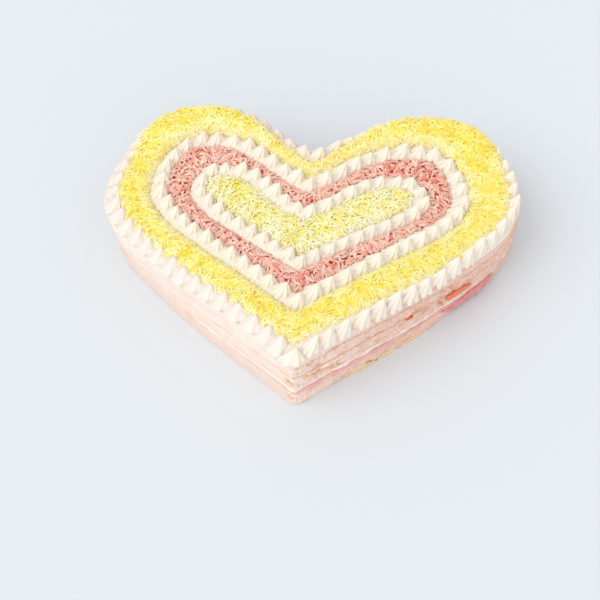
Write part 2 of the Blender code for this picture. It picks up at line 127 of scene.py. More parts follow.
# Piped stars: pitch along the row, radius and height
OUTER_STAR = dict(pitch=0.0128, radius=0.0080, height=0.0122)
MIDDLE_STAR = dict(pitch=0.0122, radius=0.0081, height=0.0120)
INNER_STAR = dict(pitch=0.0110, radius=0.0074, height=0.0112)

# Camera, in the frame of the part
CAMERA_AT = (0.0639, -0.5239, 0.6273)
CAMERA_AZIMUTH, CAMERA_ELEVATION, CAMERA_ROLL = 7.7485, 51.2433, -3.5278
CAMERA_LENS = 69.70
CAMERA_SENSOR = 36.0


# Plan curves

def bezier(start, start_handle, end_handle, end):
    t = np.linspace(0.0, 1.0, CURVE_STEPS, endpoint=False)[:, None]
    return (
        (1 - t) ** 3 * np.array(start)
        + 3 * (1 - t) ** 2 * t * np.array(start_handle)
        + 3 * (1 - t) * t * t * np.array(end_handle)
        + t**3 * np.array(end)
    )


def half_heart(plan, side, top):
    """One side of a heart, from the tip to just before the notch."""
    tip = np.array((plan["axis"], plan["tip"]))
    notch = np.array((plan["axis"], plan["notch"]))
    side, top = np.array(side), np.array(top)
    hand = 1.0 if side[0] > tip[0] else -1.0
    tip_angle = math.radians(plan["tip_slope"])
    notch_angle = math.radians(plan["notch_slope"])
    leave = np.array((hand * math.cos(tip_angle), math.sin(tip_angle)))
    arrive = np.array((hand * math.cos(notch_angle), math.sin(notch_angle)))
    flank = np.linalg.norm(side - tip)
    dip = np.linalg.norm(notch - top)
    rise = np.array((0.0, top[1] - side[1]))
    reach = np.array((side[0] - top[0], 0.0))
    down, across = np.array((0.0, 1.0)), np.array((hand, 0.0))
    return np.vstack([
        bezier(tip, tip + leave * flank * FLANK_LEAVE, side - down * flank * FLANK_ARRIVE, side),
        bezier(side, side + rise * SIDE_LEAVE, top + reach * TOP_ARRIVE, top),
        bezier(top, top - across * dip * TOP_LEAVE, notch + arrive * dip * NOTCH_ARRIVE, notch),
    ])


def heart(plan):
    """Closed outline, anticlockwise from the tip."""
    right = half_heart(plan, plan["right"], plan["right_top"])
    left = half_heart(plan, plan["left"], plan["left_top"])
    notch = np.array([(plan["axis"], plan["notch"])])
    return np.vstack([right, notch, left[:0:-1]])


def outward_of(loop):
    """Outward direction at each point of a closed outline."""
    ahead = np.roll(loop, -1, axis=0) - np.roll(loop, 1, axis=0)
    ahead /= np.linalg.norm(ahead, axis=1)[:, None]
    return np.column_stack([ahead[:, 1], -ahead[:, 0]])


def corner_shifts(loop):
    """How each point of a closed outline moves when its sides move outward by one."""
    ahead = np.roll(loop, -1, axis=0) - loop
    ahead /= np.linalg.norm(ahead, axis=1)[:, None]
    along = ahead + np.roll(ahead, 1, axis=0)
    along /= np.linalg.norm(along, axis=1)[:, None]
    outward = np.column_stack([along[:, 1], -along[:, 0]])
    return outward / (along * ahead).sum(axis=1)[:, None]


def distance_to(loop, points):
    """Distance of each point to the nearest corner of a fine outline."""
    tree = KDTree(len(loop))
    for number, (x, y) in enumerate(loop):
        tree.insert((x, y, 0.0), number)
    tree.balance()
    return np.array([tree.find((x, y, 0.0))[2] for x, y in points])


def grown(loop, by):
    """The outline moved outward, or inward where by is negative, with its crossings trimmed."""
    moved = loop + corner_shifts(loop) * by
    return moved[distance_to(resampled(loop, FINE_STEP), moved) > abs(by) * CROSSING_SHARE]


def side_lengths(loop):
    return np.linalg.norm(np.roll(loop, -1, axis=0) - loop, axis=1)


def resampled(loop, step):
    """Evenly spaced points of a closed outline, about one step apart."""
    closed = np.vstack([loop, loop[:1]])
    travelled = np.concatenate([[0.0], np.cumsum(side_lengths(loop))])
    at = np.linspace(0.0, travelled[-1], round(travelled[-1] / step), endpoint=False)
    return np.column_stack([np.interp(at, travelled, closed[:, k]) for k in (0, 1)])


def outline(plan, by=0.0):
    loop = heart(plan)
    if by:
        loop = grown(loop, by)
    return resampled(loop, SIDE_STEP)


def softened(loop, reach):
    """The evenly spaced outline with its corners rounded, by a mean over the reach."""
    count = max(1, round(reach / 2 / np.linalg.norm(loop[1] - loop[0])))
    for _ in range(2):
        loop = sum(np.roll(loop, step, axis=0) for step in range(-count, count + 1)) / (2 * count + 1)
    return loop


def inside(loop, points):
    """For each point, whether it lies in the closed outline."""
    x, y = points[:, 0][:, None], points[:, 1][:, None]
    ax, ay = loop[:, 0][None], loop[:, 1][None]
    bx, by = np.roll(loop[:, 0], -1)[None], np.roll(loop[:, 1], -1)[None]
    spans = (ay > y) != (by > y)
    rise = np.where(by == ay, 1.0, by - ay)
    crosses = spans & (x < ax + (y - ay) / rise * (bx - ax))
    return crosses.sum(axis=1) % 2 == 1


# Heights and relief

def sink(x):
    """The share of its height that the cake keeps at a place across it."""
    return np.interp(np.abs(x), SINK_AT, SINK_TO)


def share_over(values, start, over):
    """Nothing up to start, then rising to one over the reach given."""
    return np.clip((values - start) / over, 0.0, 1.0)


def noise(points, size, seed):
    """Smooth random values from -1 to 1 with bumps of the given size."""
    cell = points / size
    base = np.floor(cell).astype(np.int64)
    part = cell - base
    ease = part * part * (3 - 2 * part)
    total = np.zeros(len(points))
    for corner in range(8):
        step = np.array((corner & 1, corner >> 1 & 1, corner >> 2 & 1))
        node = base + step
        mixed = (node * np.array((73856093, 19349663, 83492791))).sum(axis=1) + seed * 7919
        mixed = (mixed ^ (mixed >> 13)) * 1274126177
        value = ((mixed ^ (mixed >> 16)) & 0xFFFF) / 32767.5 - 1.0
        total += value * np.prod(np.where(step == 1, ease, 1 - ease), axis=1)
    return total


# Meshes

def new_object(name, data):
    made = bpy.data.objects.new(name, data)
    bpy.context.scene.collection.objects.link(made)
    return made


def mesh_object(name, verts, faces):
    mesh = bpy.data.meshes.new(name)
    mesh.from_pydata([tuple(v) for v in verts], [], faces)
    mesh.update()
    return new_object(name, mesh)


def outward_faces(thing, smooth=True):
    """Splits the many-sided faces, turns all faces outward and sets their shading."""
    bm = bmesh.new()
    bm.from_mesh(thing.data)
    bmesh.ops.triangulate(bm, faces=[face for face in bm.faces if len(face.verts) > 4])
    bmesh.ops.recalc_face_normals(bm, faces=bm.faces)
    bm.to_mesh(thing.data)
    bm.free()
    thing.data.polygons.foreach_set("use_smooth", [smooth] * len(thing.data.polygons))
    return thing


def store(mesh, name, values, kind="FLOAT"):
    """Keeps a value for each point of the mesh."""
    layer = mesh.attributes.new(name, kind, "POINT")
    layer.data.foreach_set("value", values)


def coordinates(mesh):
    flat = np.empty(len(mesh.vertices) * 3)
    mesh.vertices.foreach_get("co", flat)
    return flat.reshape(-1, 3)


def set_coordinates(mesh, points):
    mesh.vertices.foreach_set("co", points.astype(np.float32).ravel())
    mesh.update()


# Node trees

class Wire:
    """A socket that can be used in expressions, which add the tree's Math nodes."""

    def __init__(self, nodes, socket):
        self.nodes = nodes
        self.socket = socket

    def maths(self, operation, *others):
        return self.nodes.add("ShaderNodeMath", dict(enumerate(others)), {"operation": operation})

    def __add__(self, other):
        return self.maths("ADD", self, other)

    def __sub__(self, other):
        return self.maths("SUBTRACT", self, other)

    def __rsub__(self, other):
        return self.maths("SUBTRACT", other, self)

    def __mul__(self, other):
        return self.maths("MULTIPLY", self, other)

    def __truediv__(self, other):
        return self.maths("DIVIDE", self, other)

    def __gt__(self, other):
        return self.maths("GREATER_THAN", self, other)

    def power(self, other):
        return self.maths("POWER", self, other)

    def clamped(self):
        return self.maths("MINIMUM", self.maths("MAXIMUM", self, 0.0), 1.0)

    def output(self, name):
        return Wire(self.nodes, self.socket.node.outputs[name])


class Nodes:
    """Adds nodes to a tree, their settings first and then the values or links of their sockets."""

    def __init__(self, tree):
        self.tree = tree

    def add(self, kind, sockets=None, settings=None, output=None):
        node = self.tree.nodes.new(kind)
        for name, value in (settings or {}).items():
            if name == "stops":
                self.set_stops(node.color_ramp, value)
            else:
                setattr(node, name, value)
        for name, value in (sockets or {}).items():
            self.feed(self.pick(node.inputs, name), value)
        if node.outputs:
            return Wire(self, self.pick(node.outputs, output or 0))
        return None

    def set_stops(self, ramp, stops):
        while len(ramp.elements) < len(stops):
            ramp.elements.new(1.0)
        for element, (place, value) in zip(ramp.elements, stops):
            element.position = place
            element.color = (*tint(*value), 1.0)

    def pick(self, sockets, name):
        usable = [socket for socket in sockets if socket.enabled]
        if isinstance(name, int):
            return usable[name]
        return next(socket for socket in usable if socket.name == name)

    def feed(self, socket, value):
        if isinstance(value, Wire):
            self.tree.links.new(value.socket, socket)
        elif socket.type == "RGBA":
            socket.default_value = (*tint(*value), 1.0)
        else:
            socket.default_value = value

    def mix(self, share, first, second):
        sockets = {"Factor": share, "A": first, "B": second}
        return self.add("ShaderNodeMix", sockets, {"data_type": "RGBA"})

    def axis(self, place, name):
        return self.add("ShaderNodeSeparateXYZ", {0: place}, output=name)

    def stored(self, name):
        return self.add("ShaderNodeAttribute", None, {"attribute_name": name}, "Fac")

    def drawn(self, kind, low, high, seed):
        """A random value for each instance or point."""
        sockets = {"Min": low, "Max": high, "Seed": seed}
        return self.add("FunctionNodeRandomValue", sockets, {"data_type": kind})

    def vector(self, *axes):
        return self.add("ShaderNodeCombineXYZ", dict(enumerate(axes)))

    def set_on(self, points, kinds, number, turn, size):
        """One of a collection's objects on each point, chosen by its number."""
        sockets = {"Collection": kinds, "Separate Children": True, "Reset Children": True}
        members = self.add("GeometryNodeCollectionInfo", sockets)
        choice = {"Points": points, "Instance": members, "Pick Instance": True, "Instance Index": number}
        return self.add("GeometryNodeInstanceOnPoints", {**choice, "Rotation": turn, "Scale": size})


def tint(red, green, blue):
    """Linear colour of an sRGB one given from 0 to 255."""
    def linear(value):
        value /= 255
        return value / 12.92 if value <= 0.04045 else ((value + 0.055) / 1.055) ** 2.4
    return tuple(linear(value) for value in (red, green, blue))


# Finishes

SOFT_REACH = 0.0035


def new_finish(name, roughness, sheen=0.0, soft=0.0, soft_tint=(1.0, 0.6, 0.4), gloss=0.5):
    made = bpy.data.materials.new(name)
    made.use_nodes = True
    shader = made.node_tree.nodes["Principled BSDF"]
    settings = {
        "Roughness": roughness,
        "Specular IOR Level": gloss,
        "Sheen Weight": sheen,
        "Subsurface Weight": soft,
        "Subsurface Radius": soft_tint,
        "Subsurface Scale": SOFT_REACH,
    }
    for key, value in settings.items():
        shader.inputs[key].default_value = value
    return made, Nodes(made.node_tree), shader


def surface(nodes, shader, colour, height, depth, strength):
    """Gives the finish its colour, and a bump from the height."""
    bump = nodes.add("ShaderNodeBump", {"Strength": strength, "Distance": depth, "Height": height})
    nodes.tree.links.new(colour.socket, shader.inputs["Base Color"])
    nodes.tree.links.new(bump.socket, shader.inputs["Normal"])


def place_of(nodes):
    return nodes.add("ShaderNodeTexCoord", output="Object")


def grain(nodes, place, size, detail=3.0, rough=0.55):
    sockets = {"Vector": place, "Scale": 1.0 / size, "Detail": detail, "Roughness": rough}
    return nodes.add("ShaderNodeTexNoise", sockets)


def left_share(nodes, place):
    """Nothing on the right half of the cake, one on its left half."""
    return ((nodes.axis(place, "X") - LEFT_FROM) / (LEFT_TO - LEFT_FROM)).clamped()


SMEAR_TALL = 0.040
# Painted shade over the bread towards the right lobe: where it starts, over what reach, and how strong
RIGHT_SHADE_FROM, RIGHT_SHADE_OVER, RIGHT_SHADE_SHARE = 0.015, 0.060, 0.50
PORE = 0.00125


def smear(nodes, place):
    """The tint of the smeared left side, rosier towards the foot and whiter towards the top."""
    cloud = grain(nodes, place, 0.010, 3.0)
    share = (nodes.axis(place, "Z") / SMEAR_TALL + (cloud - 0.5) * 0.9 - 0.1).clamped()
    return nodes.mix(share, (232, 208, 196), (247, 233, 221))


def bread_finish(name, light, shade, hollow):
    """Crumb: paler on its crags as a painted highlight, with warmer painted shade in its hollows and seams,
    flecked, with painted shade towards the right lobe, and smeared with cream on the left."""
    made, nodes, shader = new_finish(name, 0.85, sheen=0.1, soft=0.15, soft_tint=(1.0, 0.7, 0.5), gloss=0.2)
    place = place_of(nodes)
    crumb = grain(nodes, place, 0.0018, 4.0, 0.65)
    broad = grain(nodes, place, 0.012, 2.0)
    flecks = ((grain(nodes, place, 0.0013, 2.0) - 0.58) * 9.0).clamped()
    depth = nodes.stored("depth")
    pores = nodes.add("ShaderNodeTexVoronoi", {"Vector": place, "Scale": 1.0 / PORE}, output="Distance")
    # Paler where the crumb's bump stands high, a painted highlight on the crags, mixed with random broad
    # patches
    share = ((crumb - 0.5) * 3.0 + (broad - 0.5) * 2.0 + 0.55).clamped()
    # Painted shade that darkens and warms the crumb towards the right lobe
    right_shade = ((nodes.axis(place, "X") - RIGHT_SHADE_FROM) / RIGHT_SHADE_OVER).clamped() * RIGHT_SHADE_SHARE
    plain = nodes.mix(right_shade, nodes.mix(share, shade, light), (229, 170, 145))
    flecked = nodes.mix(flecks * 0.8, plain, (252, 240, 230))
    # Warmer painted shade in the hollows and the seams between slices, from the stored depth
    right_side = nodes.mix((depth * 2.0 - 0.95).clamped() * 0.85, flecked, hollow)
    # The smeared left side, with painted shade in its hollows and seams
    left_side = nodes.mix((depth * 1.5 - 0.45).clamped() * 0.9, smear(nodes, place), (238, 206, 188))
    colour = nodes.mix(left_share(nodes, place), right_side, left_side)
    surface(nodes, shader, colour, crumb * 0.7 + pores * 0.3, 0.0008, 0.8)
    return made


def cream_finish(name, light, shade, lumps=0.004, depth=0.0002, left=None):
    """Soft cream, darker and pinker on the left half where a left tint is given."""
    made, nodes, shader = new_finish(name, 0.38, soft=0.15, soft_tint=(1.0, 0.9, 0.75), gloss=0.4)
    place = place_of(nodes)
    cloud = grain(nodes, place, lumps, 2.0)
    fine = grain(nodes, place, lumps / 5, 3.0)
    colour = nodes.mix(((cloud - 0.35) * 2.4).clamped(), shade, light)
    if left:
        colour = nodes.mix(left_share(nodes, place), colour, left)
    surface(nodes, shader, colour, cloud * 0.7 + fine * 0.3, depth, 0.7)
    return made


def shred_finish(name, pale, middle, deep, rim_tint):
    """Each strip has its own tone, from the attribute that the scattering gives it, and takes
    the tint of the rim at the edge of its band."""
    made, nodes, shader = new_finish(name, 0.5, gloss=0.3)
    place = place_of(nodes)
    tone = nodes.stored("tone")
    fine = grain(nodes, place, 0.0016, 3.0)
    broad = grain(nodes, place, 0.014, 2.0)
    share = (tone * 0.78 + fine * 0.20 + broad * 0.75 - 0.36).clamped()
    stops = ((0.0, deep), (0.42, middle), (0.9, pale))
    toned = nodes.add("ShaderNodeValToRGB", {"Fac": share}, {"stops": stops})
    creamy = (nodes.stored("rim") * 1.1 + (broad - 0.5) * 0.8 - 0.25).clamped() * 0.85
    surface(nodes, shader, nodes.mix(creamy, toned, rim_tint), fine, 0.0003, 0.5)
    return made


def ham_finish(name, light, shade):
    made, nodes, shader = new_finish(name, 0.42, soft=0.2, soft_tint=(1.0, 0.35, 0.25), gloss=0.5)
    place = place_of(nodes)
    marbling = grain(nodes, place, 0.006, 4.0, 0.6)
    fine = grain(nodes, place, 0.0012, 3.0)
    meat = nodes.mix(((marbling - 0.3) * 2.2).clamped(), shade, light)
    colour = nodes.mix(left_share(nodes, place), meat, smear(nodes, place))
    surface(nodes, shader, colour, marbling * 0.5 + fine * 0.5, 0.0004, 0.6)
    return made


def carrot_finish(name, light, shade, smeared=0.0):
    made, nodes, shader = new_finish(name, 0.4, soft=0.2, soft_tint=(1.0, 0.4, 0.1), gloss=0.5)
    place = place_of(nodes)
    squeezed = nodes.add("ShaderNodeMapping", {"Vector": place, "Scale": (0.35, 0.35, 1.0)})
    streaks = grain(nodes, squeezed, 0.0016, 3.0)
    carrot = nodes.mix(((streaks - 0.3) * 2.4).clamped(), shade, light)
    covered = left_share(nodes, place) * smeared
    surface(nodes, shader, nodes.mix(covered, carrot, smear(nodes, place)), streaks, 0.0004, 0.6)
    return made


# Slices

def capped_ring(rings):
    """Faces between rings of equal length, with the first and last ring filled."""
    count = len(rings[0])
    verts = np.vstack(rings)
    faces = []
    for row in range(len(rings) - 1):
        base = row * count
        for k in range(count):
            n = (k + 1) % count
            faces.append((base + k, base + n, base + count + n, base + count + k))
    faces.append(tuple(range(count - 1, -1, -1)))
    faces.append(tuple(range((len(rings) - 1) * count, len(rings) * count)))
    return verts, faces


def sunk(thing):
    """Cuts a flat slab where the sinking changes slope, and lowers it towards the lobes' sides."""
    bm = bmesh.new()
    bm.from_mesh(thing.data)
    for at in SINK_AT:
        for side in (-1, 1):
            bmesh.ops.bisect_plane(
                bm,
                geom=bm.verts[:] + bm.edges[:] + bm.faces[:],
                plane_co=(side * at, 0.0, 0.0),
                plane_no=(1.0, 0.0, 0.0),
            )
    bm.to_mesh(thing.data)
    bm.free()
    outward_faces(thing)
    points = coordinates(thing.data)
    points[:, 2] *= sink(points[:, 0])
    set_coordinates(thing.data, points)
    return thing


# Bumps: how tall, how large, and their seed
WAVES = ((0.0011, 0.030, 3), (0.0008, 0.009, 4))
UNEVEN_CORNER = ((0.9, 0.011, 8), (0.5, 0.004, 9))
CORNER_MEAN, LEFT_CORNER = 1.15, 0.3


def bumps(points, forms):
    return sum(tall * noise(points, size, seed) for tall, size, seed in forms)


def waviness(points):
    """How far a layer's boundary rises or dips along the side, nothing at the foot and the top."""
    level = points[:, 2] / TOP
    room = np.clip(4 * level * (1 - level), 0, 1)
    flat = points * np.array((1.0, 1.0, 0.0))
    return room * bumps(flat, WAVES)


def slab(name, layer, relief, corner):
    """A slice whose side bulges a little, with relief worked into it and uneven corners."""
    low, high, inset = layer
    loop = softened(outline(EDGE, -inset), TIP_SOFT)
    outward = outward_of(loop)
    level = np.column_stack([loop, np.full(len(loop), low)])
    corner = np.maximum(corner * (CORNER_MEAN + bumps(level, UNEVEN_CORNER)), CORNER_LEAST)
    rows = max(4, round((high - low) / SIDE_ROW))
    rings, depths = [], []
    for row in range(rows + 1):
        angle = math.pi * row / rows
        height = (low + high) / 2 - math.cos(angle) * (high - low) / 2
        edge = min(height - low, high - height)
        rounded = (1 - np.minimum(1.0, edge / corner)) ** 2
        drawn_in = corner * rounded * (1 - LEFT_CORNER * leftness(level))
        base = np.column_stack([loop, np.full(len(loop), height)])
        push = relief(base) - drawn_in
        ring = base.copy()
        ring[:, :2] += outward * (push + lobe_lean(base))[:, None]
        ring[:, 2] += waviness(base)
        rings.append(ring)
        depths.append(np.clip(-push / DEEPEST, 0.0, 1.0))
    thing = mesh_object(name, *capped_ring(rings))
    # How deep each point lies, from its relief and rounded corners: the mask for the crumb's painted shade
    # in hollows and seams
    store(thing.data, "depth", np.concatenate(depths).astype(np.float32))
    return sunk(thing)


def back_share(along):
    """Nothing in front, one at the back of the lobes."""
    return share_over(along, BACK_FROM, BACK_OVER)


def lobe_lean(points):
    """How far the lobes stand out: their upper slices reach over the lower ones."""
    left = share_over(-points[:, 0], LEAN_LEFT_FROM, LEAN_LEFT_OVER)
    right = LEAN_RIGHT_SHARE * share_over(points[:, 0], LEAN_RIGHT_FROM, LEAN_RIGHT_OVER)
    return LOBE_LEAN * (left + right) * (points[:, 2] / TOP - LEAN_LEVEL)


def leftness(points):
    """Nothing on the right half of the cake, one on its left half."""
    return share_over(-points[:, 0], -LEFT_FROM, LEFT_FROM - LEFT_TO)


# Crumb: how deep and how large its forms are, and how far they are drawn out along the side
SWELL, RIPPLE = (0.00045, 0.014), (0.00040, 0.0034)
CRAG, GRIT = (0.00078, 0.0026), (0.00050, 0.0014)
HOLE_DEEP, HOLE_SIZE, HOLE_FROM = 0.0015, 0.0020, 0.25
CREASE_DEEP, CREASE_SIZE, CREASE_WIDE = 0.0009, 0.0040, 0.16
CREASE_SPREAD, CREASE_MEAN = 0.016, 0.4
CRAG_DRAWN, CREASE_DRAWN = (0.5, 0.5, 1.0), (0.22, 0.22, 1.0)
SMEARED_SMOOTH = 0.85
CRUMB_BACK = 0.0002


def crumb_relief(seed, rough):
    """Torn bread crumb: swells, crags drawn out along the side, long creases and pores. The left
    side is smeared nearly smooth."""
    def relief(points):
        drawn, stretched = points * np.array(CRAG_DRAWN), points * np.array(CREASE_DRAWN)
        swell = bumps(points, [(*SWELL, seed)]) + bumps(stretched, [(*RIPPLE, seed + 1)])
        crags = bumps(drawn, [(*CRAG, seed + 2)]) + bumps(points, [(*GRIT, seed + 3)])
        holes = np.clip(noise(points, HOLE_SIZE, seed + 4) - HOLE_FROM, 0, 1) * HOLE_DEEP
        creases = 1 - np.abs(noise(stretched, CREASE_SIZE, seed + 5)) / CREASE_WIDE
        creases = np.clip(creases, 0, 1) * CREASE_DEEP
        creases *= np.clip(CREASE_MEAN + noise(points, CREASE_SPREAD, seed + 6), 0, 1)
        rough_side = (crags - holes - creases) * rough * (1 - SMEARED_SMOOTH * leftness(points))
        return swell + rough_side - CRUMB_BACK
    return relief


SOFT_BROAD, SOFT_FINE, FINE_SHARE = 0.010, 0.004, 0.6


def smooth_relief(seed, depth, left=0.0):
    """Soft lumps, standing back on the left half by as much as left says."""
    def relief(points):
        lumps = depth * bumps(points, ((1.0, SOFT_BROAD, seed), (FINE_SHARE, SOFT_FINE, seed + 1)))
        return lumps - left * leftness(points)
    return relief


def window(values, start, end, soft):
    """One between start and end, falling to nothing over soft on either side."""
    return np.clip((values - start) / soft + 1, 0, 1) * np.clip((end - values) / soft + 1, 0, 1)


# Where the ham shows in the side: start, end and how softly, and how far behind the tip
HAM_SHOWN = ((0.010, 0.062, 0.010), (0.096, 0.126, 0.008))
HAM_BEHIND, HAM_FADE = 0.012, 0.012
HAM_OUT, HAM_BACK = 0.0005, 0.0011
HAM_BUMPS = ((0.0004, 0.009, 21), (0.0003, 0.003, 22))


def ham_relief(points):
    """The ham shows along the right front side, and stands back elsewhere."""
    shown = sum(window(points[:, 0], *span) for span in HAM_SHOWN)
    front = np.clip(shown, 0.0, 1.0) * (1 - share_over(points[:, 1], HAM_BEHIND, HAM_FADE))
    return bumps(points, HAM_BUMPS) + HAM_OUT * front - HAM_BACK * (1 - front)


def make_slices(looks):
    bread, ham, cream, carrot = looks["bread"], looks["ham"], looks["filling"], looks["carrot_seam"]
    plan = (
        ("cheese_sheet", "cheese_slice", CHEESE, smooth_relief(15, 0.0), looks["slice"], "cheese"),
        ("bread_bottom_slice", "bread_bottom", BREAD_BOTTOM, crumb_relief(11, 0.8), bread, "bread"),
        ("ham_layer", "ham_slice", HAM, ham_relief, ham, "ham"),
        ("cream_layer", "cream_lower", CREAM_LOWER, smooth_relief(31, 0.0009, 0.0003), cream, "cream"),
        ("bread_second_slice", "bread_second", BREAD_SECOND, crumb_relief(41, 1.0), bread, "bread"),
        ("carrot_layer", "carrot_filling", CARROT, smooth_relief(51, 0.0005, 0.0006), carrot, "carrot"),
        ("bread_third_slice", "bread_third", BREAD_THIRD, crumb_relief(61, 1.2), bread, "bread"),
        ("cream_seam", "cream_upper", CREAM_UPPER, smooth_relief(71, 0.0003), cream, "cream"),
        ("bread_top_slice", "bread_top", BREAD_TOP, crumb_relief(81, 0.75), looks["bread_pale"], "bread"),
        ("cream_cover", "cream_top", CREAM_TOP, smooth_relief(91, 0.0006), looks["cream"], "cream"),
    )
    for name, node, layer, relief, look, slot in plan:
        soft_top = name in ("bread_top_slice", "cream_cover")
        dress(slab(name, layer, relief, CORNER_SOFT if soft_top else CORNER), node, look)


def dress(piece, node, look):
    """Gives a finished piece its material and sets it in the place of its CAD node."""
    piece.data.materials.clear()
    piece.data.materials.append(look)
    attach(piece, "root")
    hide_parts(node)


# Pieces that show at the side: side, plan x, height, length, breadth, turn in degrees, look
BITS = (
    ("carrot_slice", "right", 0.1028, 0.0242, 0.0240, 0.0056, 5.5, "carrot"),
    ("carrot_strand", "right", 0.0922, 0.0228, 0.0075, 0.0012, 62.0, "carrot"),
    ("carrot_sliver", "right", 0.0712, 0.0276, 0.0062, 0.0011, 5.0, "carrot"),
    ("carrot_bit_right_1", "right", 0.0085, 0.0245, 0.0095, 0.0024, 20.0, "carrot_soft"),
    ("carrot_bit_right_2", "right", 0.0195, 0.0225, 0.0125, 0.0018, 12.0, "carrot_soft"),
    ("carrot_bit_left_1", "left", -0.0038, 0.0225, 0.0050, 0.0030, 18.0, "carrot_soft"),
    ("carrot_bit_left_2", "left", -0.0040, 0.0075, 0.0050, 0.0026, 22.0, "carrot_soft"),
)
BIT_THICK = 0.0022
BIT_PROUD = 0.0008
CHEESE_PATCHES = ((0.0425, 0.0180), (0.0585, 0.0140), (0.0755, 0.0190))
PATCH_TALL, PATCH_THICK, PATCH_FOOT = 0.0028, 0.0016, 0.0001
PATCH_PROUD, PATCH_BULGE = 0.0002, 0.0003
PATCH_UNEVEN, PATCH_SIZE = 0.12, 0.004
FLAP = (0.0930, 0.1270)
FLAP_LOW, FLAP_ENDS, FLAP_HIGH = 0.0050, 0.0118, 0.0131
FLAP_LONG, FLAP_THICK = 0.034, 0.0010
FLAP_PROUD, FLAP_BULGE, FLAP_ROUND = 0.0009, 0.0003, 0.25
FLAP_EDGE, FLAP_FACE = (0.10, 0.006, 95), (0.00035, 0.0045, 96)
SHEET_ROWS = 16
FLAKE_COLUMNS = 40
FLAKE_ROUND = 0.75
FLAKE_LEVELS = (
    (-0.5, 0.55), (-0.5, 0.90), (0.30, 1.0), (0.45, 0.88), (0.52, 0.60), (0.56, 0.30), (0.57, 0.06),
)


def side_frame(plan_x, hand, height):
    """A frame on the side of the cake: X along the side away from the tip, Y outward, Z up."""
    loop = heart(EDGE)
    run = loop if hand == "right" else np.roll(loop[::-1], 1, axis=0)
    front = run[:CURVE_STEPS]
    at = int(np.argmin(np.abs(front[:, 0] - plan_x)))
    along = Vector((*(run[at + 1] - run[max(at - 1, 0)]), 0.0)).normalized()
    up = Vector((0.0, 0.0, 1.0))
    outward = along.cross(up) if hand == "right" else up.cross(along)
    frame = Matrix((along, outward, up)).transposed().to_4x4()
    x, y = front[at]
    return Matrix.Translation((x, y, height * float(sink(x)))) @ frame


def flake(name, length, breadth, thick, place, seed):
    """A flat cut piece with an uneven rim, swelling a little on its outer face."""
    rings = []
    angles = np.arange(FLAKE_COLUMNS) / FLAKE_COLUMNS * 2 * math.pi
    edge = np.column_stack([np.cos(angles), np.sin(angles), np.full(FLAKE_COLUMNS, seed * 3.7)])
    uneven = 1 + 0.16 * noise(edge, 0.8, seed) + 0.09 * noise(edge, 0.35, seed + 1)
    cosine, sine = np.cos(angles), np.sin(angles)
    along = np.sign(cosine) * np.abs(cosine) ** FLAKE_ROUND * length / 2 * uneven
    upward = np.sign(sine) * np.abs(sine) ** FLAKE_ROUND * breadth / 2 * uneven
    for level, share in FLAKE_LEVELS:
        out = np.full(FLAKE_COLUMNS, level * thick)
        out += 0.00012 * noise(np.column_stack([along, out, upward]) * share, 0.0012, seed) * (level > 0)
        rings.append(np.column_stack([along * share, out, upward * share]))
    verts, faces = capped_ring(rings)
    made = mesh_object(name, [place @ Vector(v) for v in verts], faces)
    return outward_faces(made)


def make_carrot(looks):
    for number, (name, hand, plan_x, height, length, breadth, turn, look) in enumerate(BITS):
        place = side_frame(plan_x, hand, height)
        place = place @ Matrix.Translation((0.0, BIT_PROUD - BIT_THICK / 2, 0.0))
        place = place @ Matrix.Rotation(math.radians(turn), 4, "Y")
        made = flake(name + "_cut", length, breadth, BIT_THICK, place, number + 1)
        dress(made, name, looks[look])


def side_sheet(name, start, end, shape, thick):
    """A thin sheet on the right front side, between two plan positions. The shape gives, for
    shares along and up, its height and how far it stands out."""
    loop = outline(EDGE)
    widest = int(np.argmax(loop[:, 0]))
    front = loop[:widest]
    picked = (front[:, 0] > start) & (front[:, 0] < end)
    run, out = front[picked], outward_of(loop)[:widest][picked]
    along = np.linspace(0.0, 1.0, len(run))
    rings = []
    for face, shares in ((1, np.linspace(0, 1, SHEET_ROWS)), (0, np.linspace(1, 0, SHEET_ROWS))):
        for up in shares:
            height, proud = shape(along, up)
            flat = run + out * (proud - (0.0 if face else thick))[:, None]
            rings.append(np.column_stack([flat, height * sink(run[:, 0])]))
    around = np.stack(rings, axis=1)
    verts, faces = capped_ring(list(around))
    return outward_faces(mesh_object(name, verts, faces))


def make_foot(looks):
    """Where the cheese slice comes out from under the bread at the foot."""
    for number, (middle, wide) in enumerate(CHEESE_PATCHES):
        def shape(along, up):
            swell = np.clip(1 - np.abs(2 * along - 1) ** 1.7, 0.0, 1.0) ** 0.8
            place = np.column_stack([along * wide + middle, 0 * along + up * 0.003, 0 * along])
            tall = PATCH_TALL * swell * (1 + PATCH_UNEVEN * noise(place, PATCH_SIZE, 90 + number))
            proud = PATCH_PROUD + PATCH_BULGE * swell * math.sqrt(max(0.0, 1 - up**3))
            return PATCH_FOOT + tall * up, proud
        half = wide / 2
        made = side_sheet(f"cheese_edge_{number + 1}", middle - half, middle + half, shape, PATCH_THICK)
        dress(made, "cheese_slice", looks["foot_cheese"])


def make_flap(looks):
    """Ham that hangs over the side of the bottom slice, with a soft wavy lower edge."""
    def shape(along, up):
        line = np.column_stack([along * FLAP_LONG, 0 * along + up * 0.004, 0 * along])
        ends = np.clip(np.minimum(along, 1 - along) / FLAP_ROUND, 0.0, 1.0) ** 0.7
        low = FLAP_ENDS - (FLAP_ENDS - FLAP_LOW) * ends * (1 + bumps(line, [FLAP_EDGE]))
        height = low + (FLAP_HIGH - low) * up
        proud = FLAP_PROUD + bumps(line, [FLAP_FACE]) + FLAP_BULGE * math.sin(up * math.pi)
        return height, proud
    made = side_sheet("ham_flap", *FLAP, shape, FLAP_THICK)
    dress(made, "ham_slice", looks["ham_deep"])


# Scattering

